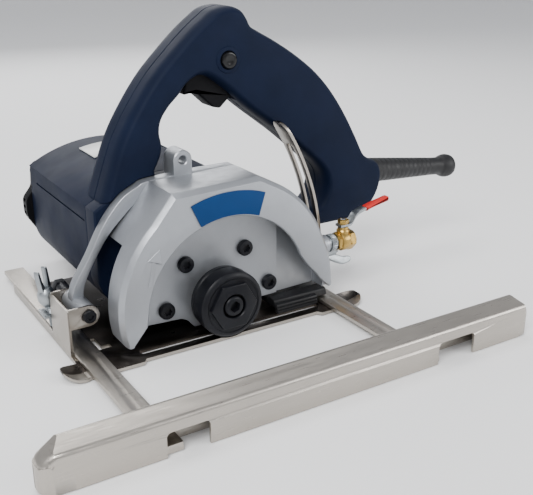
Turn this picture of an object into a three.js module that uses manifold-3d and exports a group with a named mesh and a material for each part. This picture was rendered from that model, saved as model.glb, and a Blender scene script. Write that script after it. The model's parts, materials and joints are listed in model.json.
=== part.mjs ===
// Hand-held wet stone saw with a parallel guide, as an assembly of separate pieces.
// Millimetres, +Z up. The origin is on the underside of the base plate, at its middle front to
// back, with the spindle above X = 0. +X points to the rear (cord end), -Y to the blade side and
// +Y to the motor side. The saw tilts about the front pivot to set the depth of cut.

import * as THREE from 'three';
import { mergeVertices } from 'three/addons/utils/BufferGeometryUtils.js';
import Module from 'manifold-3d';

const wasm = await Module();
wasm.setup();

// ---------------------------------------------------------------- driving dimensions
const GAP = 0.3; // clearance between neighbouring pieces
const SHEET = 2.0; // base plate thickness
const BASE = { front: -93.6, rear: 85, near: -68.6, far: 68.5, step: 2.9 };
const WALL = 1.5; // upturned walls of the base plate
const PIVOT = { x: -81.1, z: 24.7, earRadius: 6.3, nearY: -44.5, farY: -15 };
const SPINDLE = { x: -2, z: 22 };
const MODULE_MM = 1.4; // gear tooth module
const GEAR_TEETH = 25;
const PINION_TEETH = 10;
const CENTRES = (MODULE_MM * (GEAR_TEETH + PINION_TEETH)) / 2;
const MOTOR_X = -9;
const MOTOR_Z = SPINDLE.z + Math.sqrt(CENTRES ** 2 - (MOTOR_X - SPINDLE.x) ** 2);

const GUARD = { frontY: -62.5, backY: -44.5, recessY: -48.5, skin: 3, x: 2, z: 25, radius: 71.5 };
const WINDOW = { x: 1.5, z: 20, radius: 54 }; // opening in the guard's front band
const RING = { nearY: -29.5, farY: -21.8 }; // ring flange and pivot arm of the guard
const GEARBOX = { frontY: -44.2, cavityY: -36, backY: -21.8, radius: 40 };
const COLLAR = { frontY: -21.5, backY: -7.5 };
const MOTOR = { frontY: -7.2, backY: 102, endY: 115, wall: 3 };
const HANDLE = { midY: -7.5, half: 16, crownY: 9, crownIn: 4, wall: 4.5 };
const FENCE = {
  frontY: -158.3, backY: -144.5, frontZ: 19.3, backZ: 24.2, left: -131.8, right: 145,
  endLeft: -147, endRight: 152, sheet: 1.5, wrapZ: 17,
};
const ARM = { width: 13.5, thick: 2.3, z: SHEET + GAP, nearY: -156.3, farY: 98.5 };
const ARM_FRONT_X = -91.8;
const ARM_REAR_X = 69.2;
const STRIP = { inner: 162.8, outer: 164.8, nearY: -39.5, farY: -24.5, slot: 7 };
const DEPTH_BOLT_Y = (STRIP.nearY + STRIP.farY) / 2;
const DEPTH_NUT_TURN = 62; // degrees, how far the wing nut happens to be turned
const VALVE = { y: -48.3, z: 37.5, x: 87.6, length: 14, stemX: 94.1 };
const BRUSH_ANGLE = 45; // degrees from +X, so that the caps sit in the casing's corners

// ---------------------------------------------------------------- finishes
const finish = (color, roughness, metalness) =>
  new THREE.MeshStandardMaterial({ color, roughness, metalness });
const FINISH = {
  cast: finish(0xb5b9c0, 0.45, 0.8),
  navy: finish(0x232b44, 0.5, 0),
  black: finish(0x17181b, 0.5, 0),
  rubber: finish(0x1b1c1f, 0.75, 0),
  stainless: finish(0xa8a49a, 0.3, 1),
  darkSteel: finish(0x23252b, 0.4, 0.8),
  zinc: finish(0xb9c0c6, 0.35, 0.9),
  brass: finish(0xc9a24f, 0.3, 1),
  blue: finish(0x1d4f8b, 0.4, 0),
  white: finish(0xe9e9e6, 0.5, 0),
  red: finish(0xd8403a, 0.5, 0),
  steel: finish(0x9a9ca0, 0.35, 1),
  copper: finish(0xa5633a, 0.4, 1),
  carbon: finish(0x2a2a2c, 0.7, 0.1),
};

// ---------------------------------------------------------------- solids and outlines
const radians = THREE.MathUtils.degToRad;
const indexes = (count) => Array.from({ length: count }, (_, i) => i);

// Closed solid of a geometry: shared vertices merged, faces turned to point out.
function solid(geometry) {
  const bare = new THREE.BufferGeometry();
  bare.setAttribute('position', geometry.getAttribute('position').clone());
  if (geometry.index) bare.setIndex(geometry.index.clone());
  const merged = mergeVertices(bare, 1e-3);
  const places = merged.getAttribute('position').array;
  const corners = merged.index.array;
  const kept = [];
  for (let i = 0; i < corners.length; i += 3) {
    const [a, b, c] = [corners[i], corners[i + 1], corners[i + 2]];
    if (a !== b && b !== c && c !== a) kept.push(a, b, c);
  }
  let volume = 0;
  const point = (i) => new THREE.Vector3().fromArray(places, 3 * i);
  for (let i = 0; i < kept.length; i += 3) {
    const cross = point(kept[i + 1]).cross(point(kept[i + 2]));
    volume += point(kept[i]).dot(cross);
  }
  if (volume < 0) kept.reverse();
  return new wasm.Manifold(new wasm.Mesh({
    numProp: 3,
    vertProperties: new Float32Array(places),
    triVerts: new Uint32Array(kept),
  }));
}

const join = (first, ...others) => others.reduce((whole, next) => whole.add(next), first);
const cut = (first, ...tools) => tools.reduce((whole, next) => whole.subtract(next), first);

function piece(name, shape, material) {
  const mesh = shape.getMesh();
  const geometry = new THREE.BufferGeometry();
  geometry.setAttribute('position', new THREE.BufferAttribute(mesh.vertProperties, 3));
  geometry.setIndex(new THREE.BufferAttribute(mesh.triVerts, 1));
  geometry.computeVertexNormals();
  const result = new THREE.Mesh(geometry, material);
  result.name = name;
  return result;
}

const shapeOf = (points) => new THREE.Shape(points.map(([x, y]) => new THREE.Vector2(x, y)));

function arc(x, y, radius, fromDeg, toDeg, steps) {
  return Array.from({ length: steps + 1 }, (_, i) => {
    const angle = radians(fromDeg + ((toDeg - fromDeg) * i) / steps);
    return [x + radius * Math.cos(angle), y + radius * Math.sin(angle)];
  });
}

// Outline from corners [x, y, radius], each corner rounded by a short arc-like curve.
function rounded(corners, steps = 4) {
  const count = corners.length;
  return corners.flatMap(([x, y, radius = 0], i) => {
    if (!radius) return [[x, y]];
    const here = new THREE.Vector2(x, y);
    const toward = (j) => new THREE.Vector2(corners[j][0], corners[j][1]).sub(here);
    const back = toward((i + count - 1) % count);
    const on = toward((i + 1) % count);
    const longest = 0.48 * Math.min(back.length(), on.length());
    const angle = Math.acos(back.normalize().dot(on.normalize()));
    const reach = Math.min(longest, radius / Math.tan(angle / 2));
    const curve = new THREE.QuadraticBezierCurve(
      here.clone().addScaledVector(back, reach), here, here.clone().addScaledVector(on, reach));
    return curve.getPoints(steps).map((p) => [p.x, p.y]);
  });
}

const smooth = (points, steps) =>
  new THREE.SplineCurve(points.map(([x, y]) => new THREE.Vector2(x, y)))
    .getPoints(steps).map((p) => [p.x, p.y]);

// Outline moved inwards by a distance, vertex by vertex (for a counter-clockwise outline).
function inset(points, distance) {
  const count = points.length;
  return points.map(([x, y], i) => {
    const [px, py] = points[(i + count - 1) % count];
    const [nx, ny] = points[(i + 1) % count];
    const before = new THREE.Vector2(x - px, y - py).normalize();
    const after = new THREE.Vector2(nx - x, ny - y).normalize();
    const normal = new THREE.Vector2(-(before.y + after.y), before.x + after.x).normalize();
    const reach = distance / Math.max(0.5, -before.y * normal.x + before.x * normal.y);
    return [x + normal.x * reach, y + normal.y * reach];
  });
}

// Prisms: an outline in XZ swept along Y, in XY along Z, or in YZ along X.
function extrude(points, depth, bevel = {}) {
  const settings = { depth, bevelEnabled: false, ...bevel };
  return new THREE.ExtrudeGeometry(shapeOf(points), settings);
}

function prismY(points, y0, y1) {
  return solid(extrude(points, y1 - y0).rotateX(Math.PI / 2).translate(0, y1, 0));
}

function prismZ(points, z0, z1) {
  return solid(extrude(points, z1 - z0).translate(0, 0, z0));
}

function prismX(points, x0, x1) {
  const turn = new THREE.Matrix4().set(0, 0, 1, x0, 1, 0, 0, 0, 0, 1, 0, 0, 0, 0, 0, 1);
  return solid(extrude(points, x1 - x0).applyMatrix4(turn));
}

// Prism along Y whose outline shrinks by a rounded crown towards both ends.
function crownedY(points, y0, y1, crownY, crownIn, segments) {
  const bevel = {
    bevelEnabled: true, bevelThickness: crownY, bevelSize: crownIn, bevelOffset: -crownIn,
    bevelSegments: segments,
  };
  const body = extrude(points, y1 - y0 - 2 * crownY, bevel);
  return solid(body.rotateX(Math.PI / 2).translate(0, y1 - crownY, 0));
}

const box = (x0, x1, y0, y1, z0, z1) => solid(
  new THREE.BoxGeometry(x1 - x0, y1 - y0, z1 - z0)
    .translate((x0 + x1) / 2, (y0 + y1) / 2, (z0 + z1) / 2));

// Turned solids: profile [radius, height] pairs about the Y axis, or turned to X or Z.
const turnedShape = (profile, segments) =>
  new THREE.LatheGeometry(profile.map(([r, h]) => new THREE.Vector2(r, h)), segments);
const turnedY = (profile, segments = 16) => solid(turnedShape(profile, segments));
const turnedX = (profile, segments = 14) =>
  solid(turnedShape(profile, segments).rotateZ(-Math.PI / 2));
const turnedZ = (profile, segments = 12) =>
  solid(turnedShape(profile, segments).rotateX(Math.PI / 2));
const rodProfile = (r, h0, h1) => [[0, h0], [r, h0], [r, h1], [0, h1]];
const tubeProfile = (rIn, rOut, h0, h1) =>
  [[rIn, h0], [rOut, h0], [rOut, h1], [rIn, h1], [rIn, h0]];
const rodY = (r, y0, y1, x = 0, z = 0, segments = 12) =>
  solid(turnedShape(rodProfile(r, y0, y1), segments).translate(x, 0, z));
const rodX = (r, x0, x1, y = 0, z = 0, segments = 12) =>
  solid(turnedShape(rodProfile(r, x0, x1), segments).rotateZ(-Math.PI / 2).translate(0, y, z));
const rodZ = (r, z0, z1, x = 0, y = 0, segments = 12) =>
  solid(turnedShape(rodProfile(r, z0, z1), segments).rotateX(Math.PI / 2).translate(x, y, 0));

function placed(mesh, x, y, z) {
  mesh.position.set(x, y, z);
  return mesh;
}

function grouped(children, x = 0, y = 0, z = 0) {
  const group = new THREE.Group();
  group.add(...children);
  group.position.set(x, y, z);
  return group;
}

// ---------------------------------------------------------------- shared outlines
// Cross-section of the motor casing: flat left side, arched top, rounded bottom corners.
const CASING = { left: -65.5, right: 37.5, bottom: 12, shoulder: 77, top: 91.5, corner: 24 };

function casingOutline(offset = 0) {
  const { left, right, bottom, shoulder, top, corner } = CASING;
  const middle = (left + right) / 2;
  const rise = top - shoulder;
  const halfWidth = (right - left) / 2;
  const archRadius = (halfWidth ** 2 + rise ** 2) / (2 * rise);
  const spread = THREE.MathUtils.radToDeg(Math.asin(halfWidth / archRadius));
  const points = [
    ...arc(left + corner, bottom + corner, corner, 180, 270, 5),
    ...arc(right - corner, bottom + corner, corner, 270, 360, 5),
    ...arc(middle, top - archRadius, archRadius, 90 - spread, 90 + spread, 8),
  ];
  return offset ? inset(points, offset) : points;
}

// Outer outline of the guard, from its right foot over the flat-topped crown to its left tip.
function guardOutside() {
  const { x, z, radius } = GUARD;
  return [
    [75, 15.2], ...arc(x, z, radius, 3, 64, 10), [22.4, 95], [-34, 93],
    ...arc(x, z, radius, 133, 193, 10), [-66.6, 8.4], [-64.2, 6.8], [-61.8, 7.6],
  ];
}

// ---------------------------------------------------------------- base
function basePlate() {
  const { front, rear, near, far, step } = BASE;
  const end = near - step;
  const plate = prismZ([
    [front, end], [-60, end], [-58, near], [60, near], [62, end], [rear, end], [rear, far],
    [front, far],
  ], 0, SHEET);
  const bladeSlot = prismZ(rounded([
    [-58, -62.2, 2], [66, -62.2, 2], [66, -57.4, 2], [-58, -57.4, 2],
  ]), -1, SHEET + 1);
  const flangeScoop = rodY(FLANGE.radius + 2 * GAP, near - 1, -53, SPINDLE.x, SPINDLE.z, 48);
  const cornerHole = prismZ([
    [-77.5, -28.5], [-77.5, -44.5], [-69, -44.5], [-69, -40.5], [-74, -40.5], [-74, -28.5],
  ], -1, SHEET + 1);
  const frontLip = box(front, front + WALL, PIVOT.nearY, far, 0, 5);
  const rearLip = box(rear - WALL, rear, STRIP.nearY, far, 0, 5);
  const frontWall = prismX(rounded([
    [PIVOT.nearY, 0], [PIVOT.farY + WALL, 0], [PIVOT.farY + WALL, 29.5, 1.5],
    [PIVOT.nearY, 30.6, 1.5],
  ]), front, front + WALL);
  const rearWall = box(rear - WALL, rear, STRIP.nearY, STRIP.farY, 0, 13);
  const parts = [frontLip, rearLip, frontWall, rearWall, tongue(-1), tongue(1)];
  const ears = [PIVOT.nearY, PIVOT.farY].map((y) => pivotEar(y));
  const rivetHoles = rivetPlaces().map((y) => rodX(1.9, rear - 3, rear + 1, y, RIVET.z, 8));
  return piece('base_plate',
    cut(join(plate, ...parts, ...ears), bladeSlot, flangeScoop, cornerHole, ...rivetHoles),
    FINISH.stainless);
}

// Ear of the front bracket: a plate with a round end and the pivot bolt's hole.
function pivotEar(y) {
  const { x, z, earRadius } = PIVOT;
  const outline = [
    [BASE.front + WALL / 2, z - earRadius], ...arc(x, z, earRadius, -90, 90, 8),
    [BASE.front + WALL / 2, z + 6],
  ];
  const hole = rodY(3.3, y - 1, y + WALL + 1, x, z);
  return cut(prismY(outline, y, y + WALL), hole);
}

// Rounded tongue at a near corner of the plate, turned up like a ski tip. side: -1 front, 1 rear.
function tongue(side) {
  const root = side < 0 ? BASE.front : BASE.rear;
  const reach = 12;
  const rise = 3.2;
  const steps = 6;
  const line = (lift) => Array.from({ length: steps + 1 }, (_, i) => {
    const t = i / steps;
    return [root + side * (reach * t - 0.5), lift + rise * t ** 2.5];
  });
  const profile = [...line(0), ...line(SHEET * 0.8).reverse()];
  const middle = -62.5;
  const half = 10;
  const tip = root + side * reach;
  const across = [];
  for (let i = 0; i <= 10; i += 1) {
    const angle = radians(-90 + 18 * i);
    across.push([tip + side * (Math.cos(angle) - 1) * reach * 0.75, middle + half * Math.sin(angle)]);
  }
  const outline = [[root - side, middle - half], ...across, [root - side, middle + half]];
  return prismY(profile, middle - half - 1, middle + half + 1).intersect(prismZ(outline, -1, 20));
}

const RIVET = { z: 8.3, apart: 8.4, shank: 1.6, head: 3 };
const rivetPlaces = () => [DEPTH_BOLT_Y - RIVET.apart / 2, DEPTH_BOLT_Y + RIVET.apart / 2];

// Curved slotted strip about the pivot, which the depth bolt rides in.
function depthQuadrant() {
  const { inner, outer, nearY, farY, slot } = STRIP;
  const { x, z } = PIVOT;
  const low = -8;
  const high = 35;
  const band = [...arc(x, z, outer, low, high, 14), ...arc(x, z, inner, high, low, 14)];
  const lowZ = 5.4;
  const topZ = 119;
  const half = (farY - nearY) / 2;
  const face = [
    [nearY, lowZ], [farY, lowZ], ...arc(DEPTH_BOLT_Y, topZ - half, half, 0, 180, 8),
  ];
  const slotEnd = 100; // height of the middle of the slot's upper end
  const opening = [
    ...arc(DEPTH_BOLT_Y, z, slot / 2, 180, 360, 6),
    ...arc(DEPTH_BOLT_Y, slotEnd, slot / 2, 0, 180, 6),
  ];
  const holes = rivetPlaces().map((y) => rodX(1.9, 40, 100, y, RIVET.z, 8));
  const strip = prismY(band, nearY, farY).intersect(prismX(face, 40, 100));
  return piece('depth_quadrant', cut(strip, prismX(opening, 40, 100), ...holes), FINISH.stainless);
}

function quadrantRivet(index) {
  const y = rivetPlaces()[index];
  const { z, shank, head } = RIVET;
  const under = BASE.rear + GAP;
  const profile = [
    [0, under - 4.8], [shank, under - 4.8], [shank, under], [head, under],
    [head * 0.8, under + 1.2], [0, under + 1.7],
  ];
  return placed(piece(`quadrant_rivet_${index + 1}`, turnedX(profile, 10), FINISH.steel), 0, y, z);
}

// Bolt that the whole saw tilts on, with a long sleeve nut behind the far ear.
function pivotBolt() {
  const head = turnedY([[0, -47], [3.2, -47], [3.8, -46.4], [3.8, -44.8], [3, -44.8],
    [3, 4], [0, 4]], 20);
  const socket = rodY(2.1, -50, -45.8, 0, 0, 6);
  return placed(piece('pivot_bolt', cut(head, socket), FINISH.darkSteel), PIVOT.x, 0, PIVOT.z);
}

function pivotNut() {
  const sleeve = rodY(4.1, PIVOT.farY + WALL + GAP, 6);
  const hexagon = rodY(5, 2, 7.5, 0, 0, 6);
  const bore = rodY(3.3, -20, 10);
  return placed(piece('pivot_nut', cut(join(sleeve, hexagon), bore), FINISH.darkSteel),
    PIVOT.x, 0, PIVOT.z);
}

// Brackets that bridge the guide arms. The front one stands high and carries the wing screw.
const BRIDGE = { y: -5.5, half: 6.5, plate: 1.8, foot: 8 };

function guideBridge(name, footX, side, shelfX, top, screwX) {
  const { y, half, plate, foot } = BRIDGE;
  const low = SHEET + GAP;
  const near = footX + side * foot;
  const far = near + side * plate;
  const profile = [
    [footX, low], [far, low], [far, top - plate], [shelfX, top - plate], [shelfX, top],
    [near, top], [near, low + plate], [footX, low + plate],
  ];
  const body = prismY(profile, y - half, y + half);
  const shape = screwX ? cut(body, rodZ(3, top - plate - 1, top + 1, screwX, y, 12)) : body;
  return piece(name, shape, FINISH.zinc);
}

const SPLASH = { x0: 36, x1: 76, y0: -56.8, y1: -30, z0: 5.2, z1: 13.4 };

// Ribbed rubber block at the rear of the blade slot, on its own little sheet bracket.
function splashBlock() {
  const { x0, x1, y0, y1, z0, z1 } = SPLASH;
  const middle = -45.5;
  const section = rounded([
    [y0, z0, 1], [y1, z0, 1], [y1, z1 - 2, 1.5], [y1 - 3, z1, 1], [middle + 3.5, z1, 1],
    [middle + 1.5, z1 - 5, 0.8], [middle - 1, z1 - 5, 0.8], [middle - 2.5, z1 - 2.4, 1],
    [y0 + 1, z1 - 3.2, 1.5],
  ], 2);
  return piece('splash_block', prismX(section, x0, x1), FINISH.rubber);
}

function splashBracket() {
  const { x0, y0, y1, z0 } = SPLASH;
  const plate = 1.4;
  const end = ARM_REAR_X - 1.5;
  const top = box(x0 + 4, end, y0 + 1, y1 - 2, z0 - GAP - plate, z0 - GAP);
  const flange = box(x0 + 4, end, y0 + 1, y0 + 1 + plate, SHEET + GAP, z0 - GAP);
  return piece('splash_bracket', join(top, flange), FINISH.stainless);
}

// ---------------------------------------------------------------- parallel guide
// Sheet channel, open below, with its two ends closed by wrapped flanges.
function fenceChannel() {
  const { frontY, backY, frontZ, backZ, left, right, endLeft, endRight, sheet } = FENCE;
  const outside = rounded([
    [backY, 0], [backY, backZ, 3], [frontY, frontZ, 3], [frontY, 0],
  ], 4);
  const inside = rounded([
    [frontY + sheet, -1], [frontY + sheet, frontZ - sheet + 0.3, 2],
    [backY - sheet, backZ - sheet - 0.3, 2], [backY - sheet, -1],
  ], 4);
  const wraps = [fenceWrap(left, endLeft), fenceWrap(right, endRight)];
  const channel = cut(prismX(outside, left, right), prismX(inside, left - 1, right + 1));
  const notch = (x0, x1) => prismY(rounded([
    [x0, -1], [x1, -1], [x1, 13, 2.5], [x0, 13, 2.5],
  ]), frontY - 1, frontY + sheet + 3);
  const slotTop = ARM.z + ARM.thick + GAP;
  const slot = (x) => box(x - GAP, x + ARM.width + GAP, backY - 3, backY + 1, -1, slotTop);
  return piece('fence_channel', cut(join(channel, ...wraps), notch(-87.7, -65), notch(80, 107),
    slot(ARM_FRONT_X), slot(ARM_REAR_X)), FINISH.stainless);
}

// End of the fence: both flanges curl towards each other and leave a narrow slit between them.
function fenceWrap(from, to) {
  const { frontY, backY, sheet, wrapZ } = FENCE;
  const side = Math.sign(to - from);
  const start = from - side * 0.5;
  const ring = (thick) => rounded([
    [start - side * thick, frontY + thick], [to - side * thick, frontY + thick, 9 - thick],
    [to - side * thick, backY - thick, 4.5 - thick], [start - side * thick, backY - thick],
  ], 4);
  const slit = box(from - 40, from + 40, frontY + 8.4, frontY + 9.3, -1, 30);
  const sides = prismY([[start, 0], [to, 1.2], [to, wrapZ - 3], [start, wrapZ]], frontY - 1, backY + 1);
  return cut(prismZ(ring(0), 0, wrapZ), prismZ(ring(sheet), -1, wrapZ + 1), slit).intersect(sides);
}

function guideArm(name, x) {
  const { width, thick, z, nearY, farY } = ARM;
  const bar = prismZ(rounded([
    [x, nearY, 1], [x + width, nearY, 1], [x + width, farY, 1], [x, farY, 1],
  ], 2), z, z + thick);
  const tab = box(x, x + width, nearY, nearY + thick, GAP, z + 0.5);
  const slot = prismZ(rounded([
    [x + 5, -141, 1.5], [x + 8.5, -141, 1.5], [x + 8.5, -127, 1.5], [x + 5, -127, 1.5],
  ], 3), z - 1, z + thick + 1);
  return piece(name, cut(join(bar, tab), slot), FINISH.stainless);
}

// Wing screw that clamps the front arm, standing slightly off the vertical.
const GUIDE_SCREW = { x: -90, y: BRIDGE.y, tip: 4.95, lean: 8, turn: 58 };

function guideWingScrew() {
  const shank = turnedZ([
    [0, 0], [1.8, 0], [2.4, 1], [2.4, 14], [3.2, 14.4], [5.2, 17.4], [5.7, 20], [5.2, 23],
    [3.2, 26], [0, 26],
  ], 14);
  const wing = (side) => prismY(rounded([
    [side * 0.8, 20.5, 0.5], [side * 4, 20.5, 0.5], [side * 4.4, 27, 1], [side * 4.6, 36.5, 2],
    [side * 2.2, 38.5, 1.5], [side * 1.9, 31, 1], [side * 0.8, 26.5, 0.5],
  ], 3), -1.7, 1.7);
  const screw = piece('guide_wing_screw', join(shank, wing(1), wing(-1)), FINISH.zinc);
  screw.rotation.set(0, -radians(GUIDE_SCREW.lean), 0);
  screw.rotateZ(radians(GUIDE_SCREW.turn));
  return placed(screw, GUIDE_SCREW.x, GUIDE_SCREW.y, GUIDE_SCREW.tip);
}

// ---------------------------------------------------------------- saw: guard and gearbox
const GUARD_SCREWS = [[-22, 45.2], [18.3, 47.8], [35.7, 21.2], [-35.4, 18.4]];
const LUG = { x: -12, z: 102.5, radius: 6, bore: 2.6, nearY: -30.5, farY: -16.5 };

// Cast guard: a pan round the blade, a hood over the gearbox, and a ring with the pivot arm.
function bladeGuard() {
  const { frontY, backY, recessY, skin, x, z, radius } = GUARD;
  const pan = [
    ...guardOutside(), [-57.5, 10.5], [-27, 10.6], [-21.5, 8.4], [-17, 3.2], [17, 3.2],
    [24, 8.2], [31, 12], [69, 13],
  ];
  const bevelled = crownedY(pan, frontY, backY + 10, 3, 3, 2)
    .intersect(box(-200, 200, frontY - 1, backY, -50, 200));
  const inner = radius - skin;
  const cavity = prismY([
    [x + inner, -5], ...arc(x, z, inner, 0, 64, 10), [21, 91.4], [-32.6, 89.6],
    ...arc(x, z, inner, 133, 193, 10), [x - inner + 2, -5],
  ], frontY + skin, recessY);
  const window = prismY([
    [-61.8, 7.6], [-53.3, 17.8], ...arc(WINDOW.x, WINDOW.z, WINDOW.radius, 168, 20, 22),
    [58.3, 30.8], [63.6, 25], [66.8, 20.7], [73.3, 14.6], [73.3, -5], [-61.8, -5],
  ].reverse(), frontY - 1, frontY + skin + 0.5);
  const pocket = cavityPocket();
  const bores = GUARD_SCREWS.map(([sx, sz]) => rodY(2.7, recessY - 2, backY + 2, sx, sz, 8));
  const spindleBore = rodY(12, recessY - 2, backY + 2, SPINDLE.x, SPINDLE.z, 18);
  const inlet = rodX(7.2, 69.6, VALVE.x - 7.3, VALVE.y, VALVE.z, 14)
    .intersect(box(60, 100, frontY - 1, VALVE.y + 8, 0, 80));
  const waterway = rodX(3, 60, VALVE.x, VALVE.y, VALVE.z, 8);
  const shell = cut(bevelled, cavity, window, pocket, spindleBore, ...bores);
  return piece('blade_guard',
    cut(join(shell, guardHood(), guardRing(), inlet), waterway, lugBore(), pivotBore()),
    FINISH.cast);
}

// Slightly deeper field of the back plate behind the rear of the blade.
function cavityPocket() {
  const { recessY, x, z, radius, skin } = GUARD;
  const edge = 42;
  return prismY([
    [edge, 0], [x + radius - skin, 0], ...arc(x, z, radius - skin, 4, 54, 5), [edge, 60],
  ], recessY - 0.5, recessY + 1.6);
}

// Roof of the guard carried back over the gearbox.
function guardHood() {
  const { backY, x, z, radius, skin } = GUARD;
  const inner = radius - skin - 0.5;
  return prismY([
    ...arc(x, z, radius, 60, 64, 1), [22.4, 95], [-34, 93], ...arc(x, z, radius, 133, 148, 3),
    ...arc(x, z, inner, 148, 133, 3), [-32.4, 89.3], [20.8, 91.2], ...arc(x, z, inner, 64, 60, 1),
  ], backY - 0.5, RING.farY);
}

// Outline of the ring flange at the back of the hood, running down into the pivot arm.
function ringOutline() {
  return [
    [21, 91.4], [22.4, 95], [-34, 93], [-41, 90.6], [-51.5, 84.6], [-63.2, 71],
    [-73.2, 53.5], [-83, 37.5], [-86.6, PIVOT.z], [-77.6, PIVOT.z], [-76.6, 38],
    [-63.5, 60.5], [-51, 74], [-33, 89.4],
  ];
}

// The ring with its arm, the long pivot lug and the lug that holds the handle.
function guardRing() {
  const arm = prismY(ringOutline(), RING.nearY, RING.farY);
  const lugNear = PIVOT.nearY + WALL + GAP;
  const lug = rodY(6, lugNear, PIVOT.farY - GAP, PIVOT.x, PIVOT.z, 14);
  const handleLug = join(
    rodY(LUG.radius, LUG.nearY, LUG.farY, LUG.x, LUG.z, 16),
    box(LUG.x - LUG.radius, LUG.x + LUG.radius, LUG.nearY, LUG.farY, 91.9, LUG.z));
  return join(arm, lug, handleLug);
}

const lugBore = () => rodY(LUG.bore, LUG.nearY - 1, LUG.farY + 1, LUG.x, LUG.z, 10);
const pivotBore = () => rodY(3.4, PIVOT.nearY, PIVOT.farY + 1, PIVOT.x, PIVOT.z, 12);

function guardScrew(index) {
  const [x, z] = GUARD_SCREWS[index];
  const head = GUARD.recessY - GAP;
  const body = turnedY([
    [0, head - 3], [4.4, head - 3], [5, head - 2.4], [5, head], [2.4, head],
    [2.4, GEARBOX.cavityY - 0.5], [0, GEARBOX.cavityY - 0.5],
  ], 12);
  const socket = rodY(2.3, head - 6, head - 1, 0, 0, 6);
  return placed(piece(`guard_screw_${index + 1}`, cut(body, socket), FINISH.darkSteel), x, 0, z);
}

// Plain badge, a sector of a ring on the guard's front band.
function guardBadge() {
  const front = GUARD.frontY - GAP;
  const { x, z } = WINDOW;
  const sector = [...arc(x, z, 69.6, 70.5, 111.5, 12), ...arc(x, z, 55.2, 110.5, 70, 12)];
  return piece('guard_badge', prismY(sector, front - 0.7, front), FINISH.blue);
}

// Gearbox casting behind the guard, open towards the motor, with the depth bolt's boss.
function gearHousing() {
  const { frontY, cavityY, backY, radius } = GEARBOX;
  const body = join(
    rodY(radius, frontY, backY, MOTOR_X + 5, MOTOR_Z, 28),
    rodY(21, frontY, backY, SPINDLE.x, SPINDLE.z, 20));
  const floor = box(-100, 100, -100, 100, -50, 2.6);
  const boss = rodX(6.7, 25, STRIP.inner + PIVOT.x - 0.5, DEPTH_BOLT_Y, PIVOT.z, 14);
  const screwBosses = GUARD_SCREWS.map(([x, z]) => rodY(5.4, frontY, backY - 6, x, z, 8));
  const gearRoom = join(
    rodY(19.3, cavityY, backY + 1, SPINDLE.x, SPINDLE.z, 20),
    rodY(9.6, cavityY, backY + 1, MOTOR_X, MOTOR_Z, 14));
  const bearingSeat = rodY(16.3, frontY - 1, cavityY + 1, SPINDLE.x, SPINDLE.z, 20);
  const threads = GUARD_SCREWS.map(([x, z]) => rodY(2.7, frontY - 1, cavityY + 1, x, z, 8));
  const boltHole = rodX(3.3, DEPTH_BOLT.from - 1, 90, DEPTH_BOLT_Y, PIVOT.z, 10);
  return piece('gear_housing', cut(join(body, boss, ...screwBosses), floor, gearRoom, bearingSeat,
    boltHole, ...threads), FINISH.black);
}

function bearing(name, x, z, y0, y1, bore, outer) {
  const ring = turnedY(tubeProfile(bore, outer, 0, y1 - y0), 16);
  return placed(piece(name, ring, FINISH.steel), x, y0, z);
}

// ---------------------------------------------------------------- saw: motor
function housingCollar() {
  const { frontY, backY } = COLLAR;
  const rim = prismY(casingOutline(), frontY, backY);
  const hollow = prismY(casingOutline(MOTOR.wall), frontY + 7, backY + 1);
  const armatureSeat = rodY(11.3, frontY - 1, frontY + 8, MOTOR_X, MOTOR_Z, 16);
  const spindleSeat = rodY(9.8, frontY - 1, frontY + 5.8, SPINDLE.x, SPINDLE.z, 16);
  return piece('housing_collar', cut(rim, hollow, armatureSeat, spindleSeat), FINISH.navy);
}

const brushDirections = [BRUSH_ANGLE, BRUSH_ANGLE + 180];
const BRUSH = { y: 80, capRadius: 6, reach: 50.5 };

// Direction rod: a rod from the armature's axis outwards at an angle in XZ.
function radialRod(radius, from, to, angleDeg, segments) {
  return solid(turnedShape(rodProfile(radius, from, to), segments)
    .rotateZ(-Math.PI / 2).rotateY(-radians(angleDeg)).translate(MOTOR_X, BRUSH.y, MOTOR_Z));
}

function motorHousing() {
  const { frontY, backY, wall } = MOTOR;
  const shell = cut(prismY(casingOutline(), frontY, backY),
    prismY(casingOutline(wall), frontY - 1, backY + 1));
  const groove = box(CASING.left - 1, CASING.left + 1, frontY - 1, backY - 10, 66.5, 68.5);
  const notches = [61, 65.4, 69.8, 74.2].map((z) =>
    box(CASING.left - 1, CASING.left + wall + 1, backY - 3, backY + 1, z, z + 2.4));
  const brushPorts = brushDirections.map((angle) =>
    radialRod(BRUSH.capRadius + GAP, 30, 70, angle, 10));
  return piece('motor_housing', cut(shell, groove, ...notches, ...brushPorts), FINISH.navy);
}

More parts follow.
